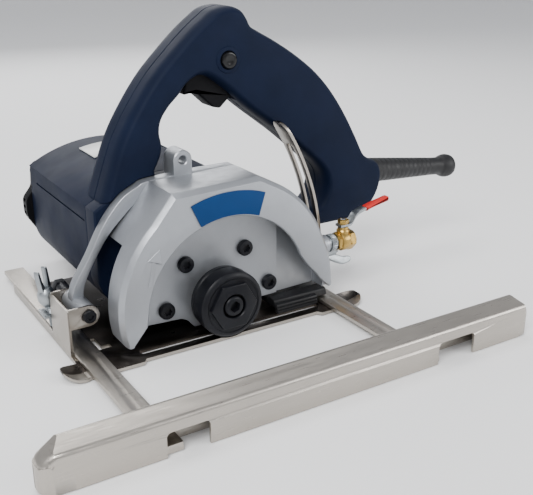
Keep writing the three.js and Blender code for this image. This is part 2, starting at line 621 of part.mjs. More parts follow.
// Rear cover with its air slots and the seat of the armature's rear bearing.
function motorEndCover() {
  const { backY, endY, wall } = MOTOR;
  const start = backY + GAP;
  const { left, right, bottom, shoulder, top } = CASING;
  const outline = rounded([
    [left + 12, bottom + 1, 16], [right - 12, bottom + 1, 16], [right + 3.5, 48, 40],
    [right - 3, shoulder - 1, 6], [(left + right) / 2, top - 1, 60], [left + 3, shoulder - 1, 6],
    [left + 2, 60, 8], [left - 4.5, 52, 8], [left - 4.5, 40, 12],
  ], 3);
  const shell = crownedY(outline, start - 6, endY, 5, 5, 2)
    .intersect(box(-200, 200, start, 200, -50, 200));
  const hollow = prismY(inset(casingOutline(), wall + 2), start - 1, endY - 4);
  const slots = [-2, -1, 0, 1, 2].map((row) => {
    const z = MOTOR_Z + 9 * row;
    return box(MOTOR_X - 24, MOTOR_X + 24, endY - 6, endY + 1, z - 2, z + 2);
  });
  const hub = rodY(13.5, start - 9.5, endY - 1, MOTOR_X, MOTOR_Z, 16);
  const seat = rodY(9.8, start - 10, endY - 5, MOTOR_X, MOTOR_Z, 16);
  return piece('motor_end_cover', cut(join(cut(shell, hollow, ...slots), hub), seat),
    FINISH.black);
}

function stator() {
  const ring = turnedY(tubeProfile(22.2, 30.4, 8, 62), 20);
  return placed(piece('stator', ring, FINISH.steel), MOTOR_X, 0, MOTOR_Z);
}

function brushCap(index) {
  const { capRadius, reach } = BRUSH;
  const cap = cut(radialRod(capRadius, reach - 9, reach, brushDirections[index], 10),
    radialRod(1.2, reach - 1, reach + 5, brushDirections[index], 6));
  return piece(`brush_cap_${index + 1}`, cap, FINISH.black);
}

function carbonBrush(index) {
  const angle = brushDirections[index];
  const block = new THREE.BoxGeometry(18, 9, 6).translate(20.6, 0, 0)
    .rotateY(-radians(angle)).translate(MOTOR_X, BRUSH.y, MOTOR_Z);
  return piece(`carbon_brush_${index + 1}`, solid(block), FINISH.carbon);
}

// Thin blank rating plate that follows the arched top of the casing.
function nameplate() {
  const { left, right, shoulder, top } = CASING;
  const rise = top - shoulder;
  const halfWidth = (right - left) / 2;
  const archRadius = (halfWidth ** 2 + rise ** 2) / (2 * rise);
  const middle = (left + right) / 2;
  const band = (offset, fromDeg, toDeg) =>
    arc(middle, top - archRadius, archRadius + offset, fromDeg, toDeg, 6);
  const points = [...band(GAP + 0.7, 80, 103), ...band(GAP, 103, 80)];
  return piece('nameplate', prismY(points, 51, 80), FINISH.white);
}

// ---------------------------------------------------------------- gears and rotating pieces
// Gear outline about its own centre, with a tooth (or a gap) facing an angle.
function gearOutline(teeth, facing, toothFacing) {
  const pitch = 360 / teeth;
  const radius = (MODULE_MM * teeth) / 2;
  const root = radius - 1.15 * MODULE_MM;
  const tip = radius + 0.8 * MODULE_MM;
  const start = facing + (toothFacing ? 0 : pitch / 2);
  const corner = (r, deg) => [r * Math.cos(radians(deg)), r * Math.sin(radians(deg))];
  return Array.from({ length: teeth }, (_, i) => {
    const middle = start + i * pitch;
    return [
      corner(root, middle - 0.29 * pitch), corner(tip, middle - 0.1 * pitch),
      corner(tip, middle + 0.1 * pitch), corner(root, middle + 0.29 * pitch),
    ];
  }).flat();
}

const lineAngle = THREE.MathUtils.radToDeg(
  Math.atan2(MOTOR_Z - SPINDLE.z, MOTOR_X - SPINDLE.x));
const GEAR_Y = { near: -33.5, far: -24.5 };
const SHAFT = { near: -65.2, radius: 5.7, rearRadius: 3.2, rear: -16 };

function spindle() {
  const { near, radius, rearRadius, rear } = SHAFT;
  const body = turnedY([
    [0, near], [radius, near], [radius, -44.6], [6.2, -44.6], [6.2, -34], [5.2, -34],
    [5.2, -22.6], [rearRadius, -22.6], [rearRadius, rear], [0, rear],
  ], 14);
  const thread = rodY(3.3, near - 1, near + 16, 0, 0, 8);
  return piece('spindle', cut(body, thread), FINISH.steel);
}

function spindleGear() {
  const gear = prismY(gearOutline(GEAR_TEETH, lineAngle, true), GEAR_Y.near, GEAR_Y.far);
  return piece('spindle_gear', cut(gear, rodY(5.5, -40, -20)), FINISH.steel);
}

const FLANGE = { radius: 20.6, seamY: -58.9 }; // blade flanges and the plane where they meet

function innerFlange() {
  const near = FLANGE.seamY + GAP;
  const profile = [
    [6, near], [19, near], [20, -57.6], [20, -55], [17, -53.6], [11, -52], [11, -45], [6, -45],
    [6, near],
  ];
  return piece('inner_flange', turnedY(profile, 20), FINISH.darkSteel);
}

// Outer flange nut: a thick disc with a chamfered front and a raised hexagon round the bolt.
function outerFlangeNut() {
  const { radius, seamY } = FLANGE;
  const disc = turnedY([
    [0, -70.4], [radius - 2.4, -70.4], [radius - 0.8, -69.6], [radius, -68.2], [radius, -60],
    [radius - 1, seamY], [0, seamY],
  ], 32);
  const hexagon = turnedY([[0, -72.4], [14.4, -72.4], [15.6, -71.6], [15.6, -69], [0, -69]], 6);
  const boltSeat = rodY(7.4, -74, -66.2, 0, 0, 14);
  const bore = rodY(6, -70, -50, 0, 0, 14);
  return piece('outer_flange_nut', cut(join(disc, hexagon), boltSeat, bore), FINISH.darkSteel);
}

function bladeBolt() {
  const body = turnedY([
    [0, -72.6], [5.4, -72.6], [6.2, -71.8], [6.2, -66.5], [2.9, -65.5], [2.9, -52], [0, -52],
  ], 14);
  return piece('blade_bolt', cut(body, rodY(3.2, -74, -69, 0, 0, 6)), FINISH.darkSteel);
}

const SHAFT_RADIUS = 4;

function armatureShaft() {
  const shaft = rodY(SHAFT_RADIUS, -34.5, 100, 0, 0, 10);
  const pinion = prismY(gearOutline(PINION_TEETH, lineAngle + 180, false), GEAR_Y.near,
    GEAR_Y.far);
  return piece('armature_shaft', join(shaft, pinion), FINISH.steel);
}

const onShaft = (name, outer, y0, y1, segments, material) =>
  piece(name, turnedY(tubeProfile(SHAFT_RADIUS + GAP, outer, y0, y1), segments), material);

function coolingFan() {
  const count = 8;
  const hub = rodY(11, -5.5, 4, 0, 0, 16);
  const disc = rodY(28, -5.5, -4, 0, 0, 16);
  const blades = indexes(count).map((i) => solid(
    new THREE.BoxGeometry(17, 8, 1.4).translate(18.5, -1, 0).rotateY(radians((360 / count) * i))));
  return piece('cooling_fan', cut(join(hub, disc, ...blades), rodY(SHAFT_RADIUS + GAP, -9, 9)),
    FINISH.black);
}

// ---------------------------------------------------------------- handle
// Outer contour of the D-handle from its front foot over the crown to the cord end.
function handleOutline() {
  const frontLeg = smooth([
    [-63.5, 70], [-60, 80], [-54.1, 96.8], [-46.6, 115.6], [-36.2, 133.1], [-23.8, 149.7],
    [-10.7, 163], [0.9, 173.6], [11, 181.8],
  ], 12);
  const crown = smooth([[18, 186], [27, 187.6], [34.5, 185.2], [38.6, 180.5], [40.6, 176]], 5);
  const rearArm = smooth([
    [46.5, 172.4], [59.6, 165.4], [74.5, 156.2], [89.5, 144.8], [102.3, 131.4], [113.8, 115.4],
    [123.4, 99.2], [131, 84.4],
  ], 11);
  const cordEnd = [[141.5, 79.5], [145.2, 77], [147.3, 70], [146.5, 61], [142.5, 52.5],
    [136, 45], [128, 41], [120, 39.3]];
  const underBar = [[104, 39.3], [34, 39.3]];
  const overBar = [[34, 52], [86, 52]];
  const rearLeg = smooth([
    [93, 53.6], [97.6, 59], [99.8, 67], [98, 75.6], [92, 83.4], [84, 90.4],
  ], 6);
  const underArm = smooth([[68.4, 103.6], [55, 113.8], [41.5, 124], [32, 132]], 4);
  const apex = [[22, 140], [9, 149.5], [2, 147]];
  const frontInside = smooth([
    [-8.1, 138], [-14.5, 132], [-19.5, 125], [-20.9, 118], [-19.8, 110.5],
  ], 5);
  const foot = [[-21, 104], [-25, 96], [-25, 60], [-63.5, 60]];
  return [
    ...frontLeg, ...crown, ...rearArm, ...cordEnd, ...underBar, ...overBar, ...rearLeg,
    ...underArm, ...apex, ...frontInside, ...foot,
  ].reverse();
}

const HANDLE_SCREWS = [[22, 176], [112, 100], [-47, 98]];
const LOCK = { x: 23.5, z: 157, radius: 5.2 };
const BOOT = { x: 143, z: 68.4, droop: 5.5, length: 84 };

// Both handle halves together: a hollow crowned arch, notched to fit the motor casing.
function handleBody() {
  const { midY, half, crownY, crownIn, wall } = HANDLE;
  const outline = handleOutline();
  const whole = crownedY(outline, midY - half, midY + half, crownY, crownIn, 1);
  const hollow = prismY(inset(outline, wall), midY - half + 3.5, midY + half - 3.5);
  const seat = prismY(casingOutline(-GAP), -60, 60);
  const mouth = prismY([
    [-4.5, 134], [-3, 153], [0, 157.5], [11, 157.5], [36, 138], [31, 125], [10, 118],
  ], midY - 8.4, midY + 8.4);
  const ringRoom = prismY(inset(ringOutline(), -0.6), RING.nearY, RING.farY + GAP);
  const bosses = HANDLE_SCREWS.map(([x, z]) => rodY(4.4, midY - 12.6, midY + 12.6, x, z, 8));
  const bores = HANDLE_SCREWS.map(([x, z]) => rodY(2, midY - 11, midY + half + 1, x, z, 8));
  const headSeats = HANDLE_SCREWS.map(([x, z]) =>
    rodY(3.9, midY + 10, midY + half + 1, x, z, 10));
  const lockBoss = rodY(8.4, midY - half - 0.8, midY - half + 6, LOCK.x, LOCK.z, 16);
  const lockHole = rodY(LOCK.radius + GAP, midY - half - 2, midY - 4, LOCK.x, LOCK.z, 14);
  const bootHole = bootRod(9, -8, 12);
  return cut(join(cut(whole, hollow), ...bosses, lockBoss), seat, mouth, ringRoom, lockHole,
    bootHole, ...bores, ...headSeats);
}

function handleHalves() {
  const { midY } = HANDLE;
  const body = handleBody();
  const near = body.intersect(box(-200, 300, -100, midY - GAP / 2, -50, 300));
  const far = body.intersect(box(-200, 300, midY + GAP / 2, 100, -50, 300));
  return [
    piece('handle_near_half', near, FINISH.navy), piece('handle_far_half', far, FINISH.navy),
  ];
}

function handleScrew(index) {
  const [x, z] = HANDLE_SCREWS[index];
  const { midY } = HANDLE;
  const body = turnedY([
    [0, midY - 9], [1.7, midY - 9], [1.7, midY + 10.3], [3.5, midY + 10.3], [3.2, midY + 12.8],
    [0, midY + 12.8],
  ], 12);
  return placed(piece(`handle_screw_${index + 1}`, body, FINISH.darkSteel), x, 0, z);
}

function lockButton() {
  const { midY, half } = HANDLE;
  const { radius, x, z } = LOCK;
  const front = midY - half - 2.6;
  const body = turnedY([
    [0, front], [radius - 1.6, front], [radius, front + 1.2], [radius, midY - 8], [0, midY - 8],
  ], 14);
  return placed(piece('lock_button', body, FINISH.black), x, 0, z);
}

function trigger() {
  const half = 8;
  const outline = rounded([
    [-2.6, 137.2, 1], [6, 138.4, 1.5], [17.2, 128.2, 2], [22.2, 127, 2.2], [30, 134.2, 1.5],
    [22.5, 145, 2], [8, 154.5, 3], [0, 152, 3],
  ].reverse(), 4);
  const body = prismY(outline, HANDLE.midY - half, HANDLE.midY + half);
  return piece('trigger', body, FINISH.black);
}

function triggerSwitch() {
  const block = new THREE.BoxGeometry(26, 16, 15).rotateY(radians(35))
    .translate(46, HANDLE.midY, 149);
  return piece('trigger_switch', solid(block), FINISH.black);
}

// Rod along the boot's axis, from the handle's rear wall outwards.
function bootShape(profile, segments) {
  return solid(turnedShape(profile, segments).rotateZ(-Math.PI / 2)
    .rotateY(radians(BOOT.droop)).translate(BOOT.x, HANDLE.midY, BOOT.z));
}

const bootRod = (radius, from, to) => bootShape(rodProfile(radius, from, to), 14);

// Bend protector of the mains lead: a ringed tapered sleeve with a bulb at its end.
function cordBoot() {
  const { length } = BOOT;
  const bore = 3.6;
  const profile = [
    [bore, -7], [8.6, -7], [8.6, 6], [8, 9], [7.4, 20], [6.9, length * 0.45], [6.7, length * 0.72],
    [7.4, length * 0.8], [8.7, length * 0.88], [8.6, length * 0.96], [6.6, length],
    [bore, length], [bore, -7],
  ];
  return piece('cord_boot', bootShape(profile, 14), FINISH.rubber);
}

// ---------------------------------------------------------------- water valve
function valveFitting() {
  const { x, y, z } = VALVE;
  const body = join(
    turnedX(tubeProfile(2.2, 4.8, x - 7, x - GAP), 12),
    turnedX(tubeProfile(2.2, 6.8, x - 5.4, x - 1.6), 6));
  return placed(piece('valve_fitting', body, FINISH.zinc), 0, y, z);
}

function valveBody() {
  const { x, y, z, length, stemX } = VALVE;
  const end = x + length;
  const barrel = turnedX([
    [0, x], [5.6, x], [5.6, x + 2.6], [6.6, x + 3.2], [6.6, end - 4.8], [5.8, end - 4.2],
    [5.8, end], [0, end],
  ], 12);
  const hexes = join(
    turnedX(rodProfile(7, end - 5, end - 0.8), 6), turnedX(rodProfile(6.4, x, x + 2.4), 6));
  const neck = rodZ(3.6, 0, 9.6, stemX, 0, 10);
  const chamber = solid(new THREE.SphereGeometry(4.9, 10, 8).translate(stemX, 0, 0));
  const through = rodX(2.6, x - 1, end + 1, 0, 0, 8);
  const stemHole = rodZ(1.9, 0, 12, stemX, 0, 8);
  return placed(piece('valve_body', cut(join(barrel, hexes, neck), chamber, through, stemHole),
    FINISH.brass), 0, y, z);
}

// Ball with its stem; it turns with the lever.
function valveBall() {
  const ball = solid(new THREE.SphereGeometry(4.6, 10, 8));
  const body = cut(join(ball, rodZ(1.6, 4, 15, 0, 0, 8)), rodX(2.4, -6, 6, 0, 0, 8));
  return piece('valve_ball', body, FINISH.steel);
}

function valveLever() {
  const thick = 1.5;
  const rise = [[-4, 10], [4.2, 10], [8.6, 15.6], [16.5, 18.8]];
  const upper = rise.map(([x, z]) => [x, z + thick]).reverse();
  const body = cut(prismY([...rise, ...upper], -3.2, 3.2), rodZ(1.9, 5, 20, 0, 0, 8));
  return piece('valve_lever', body, FINISH.zinc);
}

function leverGrip() {
  const line = [[16.9, 17.6], [25, 19.6], [36, 21.8]];
  const upper = line.map(([x, z]) => [x, z + 3.6]).reverse();
  return piece('lever_grip', prismY(rounded([...line, ...upper].map(([x, z]) => [x, z, 1])),
    -3.8, 3.8), FINISH.red);
}

function stemNut() {
  const nut = turnedZ(tubeProfile(1.9, 3.8, 11.8, 14.6), 6);
  return piece('valve_stem_nut', nut, FINISH.brass);
}

// ---------------------------------------------------------------- depth lock
const DEPTH_BOLT = { radius: 2.9, from: 73, to: 101.5 };

function depthBolt() {
  const { radius, from, to } = DEPTH_BOLT;
  return placed(piece('depth_bolt', turnedX(rodProfile(radius, from, to), 10), FINISH.zinc),
    0, DEPTH_BOLT_Y, PIVOT.z);
}

function depthWingNut() {
  const start = STRIP.outer + PIVOT.x + GAP;
  const wings = start + 6;
  const hub = turnedX([
    [3.2, start], [7, start], [7, start + 1.6], [5, start + 2.4], [4.2, wings + 9],
    [3.2, wings + 9], [3.2, start],
  ], 14);
  const wing = (side) => prismZ(rounded([
    [wings + 2.2, side * 3.4], [wings + 8, side * 3.4], [wings + 14, side * 6],
    [wings + 20, side * 7, 1], [wings + 20.5, side * 10.5, 2], [wings + 13, side * 11.5, 3],
    [wings + 3, side * 6.4, 1],
  ], 3), -1.3, 1.3);
  const nut = piece('depth_wing_nut', join(hub, wing(1), wing(-1)), FINISH.zinc);
  nut.rotation.x = radians(DEPTH_NUT_TURN);
  return placed(nut, 0, DEPTH_BOLT_Y, PIVOT.z);
}

// ---------------------------------------------------------------- assembly
const base = grouped([
  basePlate(), depthQuadrant(), ...indexes(2).map(quadrantRivet), pivotBolt(), pivotNut(),
  guideBridge('guide_bridge_front', -68, -1, -97, 15, -91.2),
  guideBridge('guide_bridge_rear', 59, 1, 83.2, 7.3), splashBlock(), splashBracket(),
]);

const guide = grouped([
  fenceChannel(), guideArm('guide_arm_front', ARM_FRONT_X), guideArm('guide_arm_rear', ARM_REAR_X),
]);

const guardAndGearbox = grouped([
  bladeGuard(), guardBadge(), gearHousing(), ...indexes(4).map(guardScrew),
  bearing('spindle_bearing_front', SPINDLE.x, SPINDLE.z, -43.9, -36.3, 6.5, 16),
  bearing('spindle_bearing_rear', SPINDLE.x, SPINDLE.z, -21.2, -16.2, 3.5, 9.5),
]);

const motor = grouped([
  housingCollar(), motorHousing(), motorEndCover(), stator(), nameplate(),
  ...indexes(2).map(brushCap), ...indexes(2).map(carbonBrush),
  bearing('armature_bearing_front', MOTOR_X, MOTOR_Z, -21.2, -14.2, SHAFT_RADIUS + GAP, 11),
  bearing('armature_bearing_rear', MOTOR_X, MOTOR_Z, 93.5, 99.5, SHAFT_RADIUS + GAP, 9.5),
]);

const handle = grouped([
  ...handleHalves(), ...indexes(HANDLE_SCREWS.length).map(handleScrew), triggerSwitch(),
  trigger(), lockButton(), cordBoot(),
]);

const spindleGroup = grouped(
  [spindle(), spindleGear(), innerFlange(), outerFlangeNut(), bladeBolt()],
  SPINDLE.x, 0, SPINDLE.z);

const armatureGroup = grouped([
  armatureShaft(), onShaft('armature_core', 21, 10, 60, 18, FINISH.copper),
  onShaft('commutator', 11, 70, 90, 16, FINISH.copper), coolingFan(),
], MOTOR_X, 0, MOTOR_Z);

const valveGroup = grouped(
  [valveBall(), valveLever(), leverGrip(), stemNut()], VALVE.stemX, VALVE.y, VALVE.z);

const saw = grouped([
  guardAndGearbox, motor, handle, spindleGroup, armatureGroup, valveGroup, valveFitting(),
  valveBody(), depthBolt(), depthWingNut(),
]);

const stoneSaw = grouped([base, guide, guideWingScrew(), saw]);
stoneSaw.name = 'stone_saw';

export default stoneSaw;
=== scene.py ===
import json
from math import acos, asin, atan2, cos, degrees, pi, radians, sin, tan

import bmesh
import bpy
from mathutils import Matrix, Vector


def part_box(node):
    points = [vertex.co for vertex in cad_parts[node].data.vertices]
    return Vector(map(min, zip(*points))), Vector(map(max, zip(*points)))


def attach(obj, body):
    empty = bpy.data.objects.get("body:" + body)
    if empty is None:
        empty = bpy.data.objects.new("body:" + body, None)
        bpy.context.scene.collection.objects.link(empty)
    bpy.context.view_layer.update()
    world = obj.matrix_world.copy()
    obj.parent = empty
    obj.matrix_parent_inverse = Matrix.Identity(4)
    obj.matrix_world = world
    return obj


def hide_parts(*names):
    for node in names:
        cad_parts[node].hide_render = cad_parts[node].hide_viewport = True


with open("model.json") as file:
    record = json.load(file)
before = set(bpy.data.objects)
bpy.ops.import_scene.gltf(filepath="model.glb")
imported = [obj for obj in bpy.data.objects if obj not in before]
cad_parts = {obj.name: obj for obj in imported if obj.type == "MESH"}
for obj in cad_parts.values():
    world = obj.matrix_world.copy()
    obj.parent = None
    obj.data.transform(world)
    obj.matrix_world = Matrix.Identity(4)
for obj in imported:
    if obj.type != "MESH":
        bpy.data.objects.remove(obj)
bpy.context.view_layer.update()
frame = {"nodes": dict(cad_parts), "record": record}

MM = 0.001
RECORD = frame["record"]
BODY_OF = {node: body for body, nodes in RECORD["behaviour"]["bodies"].items() for node in nodes}
SLOT_OF = {row["node"]: row["material_slot"] for row in RECORD["subparts"]}
JOINT = {row["name"]: row for row in RECORD["behaviour"]["joints"]}


def cad_box(node):
    """Lowest and highest corner of a CAD node, in millimetres."""
    low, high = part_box(node)
    return Vector(low) / MM, Vector(high) / MM


def joint_place(name):
    """A joint's position, in millimetres."""
    return Vector(JOINT[name]["pos_m"]) / MM


# -------- camera, floor and light
SENSOR_WIDTH, FOCAL_LENGTH = 36, 55.6953
CAMERA_PLACE = (-0.2197, -0.4555, 0.2265)
CAMERA_PITCH, CAMERA_TURN = 69.2, -32


def placed(name, data):
    """A new object in the scene."""
    made = bpy.data.objects.new(name, data)
    bpy.context.collection.objects.link(made)
    return made


def make_camera():
    data = bpy.data.cameras.new("camera")
    data.sensor_width = SENSOR_WIDTH
    data.lens = FOCAL_LENGTH
    data.clip_start = 0.01
    camera = placed("camera", data)
    camera.location = CAMERA_PLACE
    camera.rotation_euler = (radians(CAMERA_PITCH), 0, radians(CAMERA_TURN))
    bpy.context.scene.camera = camera


def area_light(name, place, target, size, power):
    data = bpy.data.lights.new(name, "AREA")
    data.shape = "RECTANGLE"
    data.size, data.size_y = size
    data.energy = power
    light = placed(name, data)
    light.location = place
    aim = Vector(target) - Vector(place)
    light.rotation_euler = aim.to_track_quat("-Z", "Y").to_euler()


def make_studio():
    world = bpy.data.worlds.new("studio")
    world.use_nodes = True
    backdrop = world.node_tree.nodes["Background"]
    backdrop.inputs["Color"].default_value = (0.93, 0.95, 1.0, 1)
    backdrop.inputs["Strength"].default_value = 0.60
    bpy.context.scene.world = world
    area_light("key", (-0.75, -0.75, 1.05), (0, -0.02, 0.06), (0.7, 0.7), 20)
    area_light("fill", (0.95, -0.9, 0.55), (0, 0, 0.08), (0.9, 0.6), 9)
    area_light("top", (0.0, 0.35, 1.2), (0, 0, 0.1), (0.9, 0.5), 5)
    area_light("rim", (0.2, 1.1, 0.6), (0, 0, 0.1), (0.9, 0.4), 6)


def make_floor():
    """Pale floor that sweeps up into a wall far behind the saw."""
    front, low, reach, bend, top, half, steps = -4.0, -0.0006, 2.4, 0.8, 4.0, 5.0, 12
    profile = [(front, low), (reach, low)]
    for k in range(1, steps + 1):
        a = pi / 2 * k / steps
        profile.append((reach + bend * sin(a), low + bend * (1 - cos(a))))
    profile.append((reach + bend, top))
    vertices = [(x, y, z) for x in (-half, half) for y, z in profile]
    count = len(profile)
    faces = [(k, k + count, k + count + 1, k + 1) for k in range(count - 1)]
    mesh = bpy.data.meshes.new("floor")
    mesh.from_pydata(vertices, [], faces)
    mesh.shade_smooth()
    floor = placed("floor", mesh)
    paint = bpy.data.materials.new("floor")
    paint.use_nodes = True
    shader = paint.node_tree.nodes["Principled BSDF"]
    shader.inputs["Base Color"].default_value = (0.93, 0.93, 0.93, 1)
    shader.inputs["Roughness"].default_value = 0.85
    floor.data.materials.append(paint)


# -------- materials
class Paint:
    """A material under construction: one Principled shader and the nodes that feed it."""

    def __init__(self, name, colour, roughness, metallic=0.0, **sockets):
        self.material = bpy.data.materials.new(name)
        self.material.use_nodes = True
        self.tree = self.material.node_tree
        self.shader = self.tree.nodes["Principled BSDF"]
        self.colour = colour
        self.shader.inputs["Base Color"].default_value = (*colour, 1)
        self.shader.inputs["Roughness"].default_value = roughness
        self.shader.inputs["Metallic"].default_value = metallic
        for key, value in sockets.items():
            self.shader.inputs[key.replace("_", " ")].default_value = value
        self.normal = None

    def node(self, kind, **settings):
        made = self.tree.nodes.new(kind)
        for key, value in settings.items():
            setattr(made, key, value)
        return made

    def link(self, source, target):
        self.tree.links.new(source, target)

    def noise(self, scale, detail=3.0, stretch=(1, 1, 1)):
        """Noise in object space, scale in features per metre, stretched along an axis."""
        place = self.node("ShaderNodeTexCoord")
        mapping = self.node("ShaderNodeMapping")
        mapping.inputs["Scale"].default_value = stretch
        noise = self.node("ShaderNodeTexNoise")
        noise.inputs["Scale"].default_value = scale
        noise.inputs["Detail"].default_value = detail
        self.link(place.outputs["Object"], mapping.inputs["Vector"])
        self.link(mapping.outputs["Vector"], noise.inputs["Vector"])
        return noise.outputs["Fac"]

    def ramp(self, value, low, high, start=0.3, stop=0.7):
        """Maps a texture value to a range of numbers or colours."""
        ramp = self.node("ShaderNodeValToRGB")
        points = ramp.color_ramp.elements
        points[0].position, points[1].position = start, stop
        as_colour = lambda v: (*v, 1) if isinstance(v, tuple) else (v, v, v, 1)
        points[0].color, points[1].color = as_colour(low), as_colour(high)
        self.link(value, ramp.inputs["Fac"])
        return ramp.outputs["Color"]

    def tone(self, factor):
        return tuple(channel * factor for channel in self.colour)

    def vary_colour(self, value, low, high):
        self.link(self.ramp(value, self.tone(low), self.tone(high)), self.shader.inputs["Base Color"])

    def vary_roughness(self, value, low, high):
        self.link(self.ramp(value, low, high), self.shader.inputs["Roughness"])

    def bump(self, value, height_mm, strength=1.0):
        bump = self.node("ShaderNodeBump")
        bump.inputs["Distance"].default_value = height_mm * MM
        bump.inputs["Strength"].default_value = strength
        self.link(value, bump.inputs["Height"])
        if self.normal:
            self.link(self.normal, bump.inputs["Normal"])
        self.normal = bump.outputs["Normal"]
        self.link(self.normal, self.shader.inputs["Normal"])

    def split(self, space):
        """X, Y and Z of the texture coordinate in the given space."""
        parts = self.node("ShaderNodeSeparateXYZ")
        self.link(self.node("ShaderNodeTexCoord").outputs[space], parts.inputs["Vector"])
        return parts.outputs

    def math(self, operation, *values, **settings):
        """Output of a math node over other outputs and plain numbers."""
        made = self.node("ShaderNodeMath", operation=operation, **settings)
        for socket, value in zip(made.inputs, values):
            if isinstance(value, (int, float)):
                socket.default_value = value
            else:
                self.link(value, socket)
        return made.outputs["Value"]


# Each family of surface: shader settings; colour factor as (noise scale, detail, low, high);
# roughness as (scale, detail, below, above); bumps as (scale, detail, height in mm, strength).
FAMILIES = {
    "moulded": ({"Specular_IOR_Level": 0.09}, (45, 4, 0.86, 1.14), (60, 2, 0.03, 0.04),
                [(2600, 2, 0.03, 0.3)]),
    "cast": ({"metallic": 0.78}, (30, 5, 0.93, 1.05), (220, 4, 0.05, 0.08),
             [(1500, 4, 0.06, 0.5), (60, 2, 0.25, 0.25)]),
    "turned": ({"metallic": 1.0}, (120, 4, 0.85, 1.08), (400, 3, 0.05, 0.1),
               [(900, 2, 0.01, 0.12)]),
    "smooth": ({"Coat_Roughness": 0.08}, (70, 3, 0.93, 1.06), (300, 2, 0.04, 0.06),
               [(900, 2, 0.02, 0.3)]),
    "rubber": ({"Specular_IOR_Level": 0.4}, (90, 4, 0.8, 1.3), (300, 3, 0.08, 0.08),
               [(2200, 3, 0.06, 0.6)]),
}
LOWEST_ROUGHNESS = 0.05


def surface(family, name, colour, roughness, **settings):
    """Material of a family, its colour, roughness and height varied by noise."""
    shared, tone, gloss, bumps = FAMILIES[family]
    paint = Paint(name, colour, roughness, **{**shared, **settings})
    paint.vary_colour(paint.noise(*tone[:2]), *tone[2:])
    lowest = max(LOWEST_ROUGHNESS, roughness - gloss[2])
    paint.vary_roughness(paint.noise(*gloss[:2]), lowest, roughness + gloss[3])
    for scale, detail, height, strength in bumps:
        paint.bump(paint.noise(scale, detail), height, strength)
    return paint.material


def brushed_metal(name, colour, roughness, along, scale=60, depth=0.02):
    """Fine scratches that run along the axis whose stretch is 1."""
    paint = Paint(name, colour, roughness, 1.0, Anisotropic=0.4)
    scratches = paint.noise(scale, 5, along)
    paint.vary_colour(paint.noise(9, 3), 0.88, 1.06)
    paint.vary_roughness(scratches, roughness - 0.06, roughness + 0.12)
    paint.bump(scratches, depth, 0.5)
    return paint.material


def steel_with_painted_reflection(name, colour, roughness, edge_colour, slot_y, tongue_x):
    """Rolled steel sheet with painted light: flat faces dark as a painted dark reflection, end tongues
    and the edges and upright faces away from the slot lighter, and painted shade on the faces by the
    slot.
    """
    paint = Paint(name, colour, roughness, 1.0)
    normal, where = paint.split("Normal"), paint.split("Object")
    # Light painted by facing direction: upright faces take the lighter colour, flat faces the dark one.
    edge = paint.ramp(paint.math("ABSOLUTE", normal["Z"]), 1.0, 0.0, 0.6, 0.95)
    # Painted shade in the slot: faces within 7 mm of the slot's middle stay dark.
    slot_shade = paint.math("COMPARE", where["Y"], slot_y * MM, 7 * MM)
    tongue = paint.math("GREATER_THAN", paint.math("ABSOLUTE", where["X"]), tongue_x * MM)
    bright = paint.math("SUBTRACT", paint.math("MAXIMUM", edge, tongue), slot_shade, use_clamp=True)
    # Painted dark reflection on the flat faces, its tone varied by noise.
    painted_dark_reflection = paint.ramp(paint.noise(22, 4), paint.tone(0.6), paint.tone(1.5))
    mix = paint.node("ShaderNodeMix", data_type="RGBA")
    paint.link(bright, mix.inputs["Factor"])
    paint.link(painted_dark_reflection, mix.inputs["A"])
    mix.inputs["B"].default_value = (*edge_colour, 1)
    paint.link(mix.outputs["Result"], paint.shader.inputs["Base Color"])
    paint.vary_roughness(paint.noise(50, 4), roughness - 0.05, roughness + 0.1)
    paint.bump(paint.noise(240, 3, (1, 12, 1)), 0.01, 0.25)
    return paint.material


TONGUE_START = 87
MATERIAL = {
    "stainless": brushed_metal("stainless", (0.47, 0.435, 0.39), 0.32, (1, 14, 14), 90, 0.008),
    # The base sheet's paint holds painted light: a dark reflection on flat faces, lighter upright faces
    # and tongues, shade by the slot.
    "dark_stainless": steel_with_painted_reflection("dark_stainless", (0.085, 0.072, 0.062), 0.30,
                                   (0.40, 0.37, 0.33), cad_box("inner_flange")[0].y + 1,
                                   TONGUE_START),
    "laminations": brushed_metal("laminations", (0.26, 0.25, 0.25), 0.45, (1, 60, 1)),
}
for family, slot, colour, roughness, settings in (
        ("cast", "cast_aluminium", (0.37, 0.385, 0.41), 0.42, {}),
        ("moulded", "navy_plastic", (0.0044, 0.0084, 0.0235), 0.55, {}),
        ("moulded", "black_plastic", (0.005, 0.005, 0.006), 0.5, {}),
        ("smooth", "gloss_black", (0.003, 0.003, 0.0035), 0.20,
         {"Coat_Weight": 0.1, "Specular_IOR_Level": 0.3}),
        ("rubber", "black_rubber", (0.006, 0.006, 0.007), 0.5, {}),
        ("turned", "black_steel", (0.006, 0.0065, 0.009), 0.38,
         {"metallic": 0.0, "Specular_IOR_Level": 0.22}),
        ("turned", "zinc_plated", (0.36, 0.385, 0.40), 0.36, {}),
        ("turned", "machined_steel", (0.42, 0.42, 0.43), 0.28, {}),
        ("turned", "brass", (0.52, 0.34, 0.10), 0.30, {}),
        ("smooth", "badge", (0.0022, 0.034, 0.125), 0.42, {"Specular_IOR_Level": 0.15}),
        ("smooth", "rating_plate", (0.70, 0.70, 0.68), 0.35, {}),
        ("smooth", "red_vinyl", (0.55, 0.018, 0.014), 0.34, {"Specular_IOR_Level": 0.3}),
        ("turned", "copper", (0.55, 0.22, 0.10), 0.35, {}),
        ("rubber", "carbon", (0.03, 0.03, 0.03), 0.6, {})):
    MATERIAL[slot] = surface(family, slot, colour, roughness, **settings)


# -------- outlines, in millimetres
def arc(x, z, radius, start, stop, steps):
    """Points of an arc, angles in degrees."""
    angles = [radians(start + (stop - start) * i / steps) for i in range(steps + 1)]
    return [(x + radius * cos(a), z + radius * sin(a)) for a in angles]


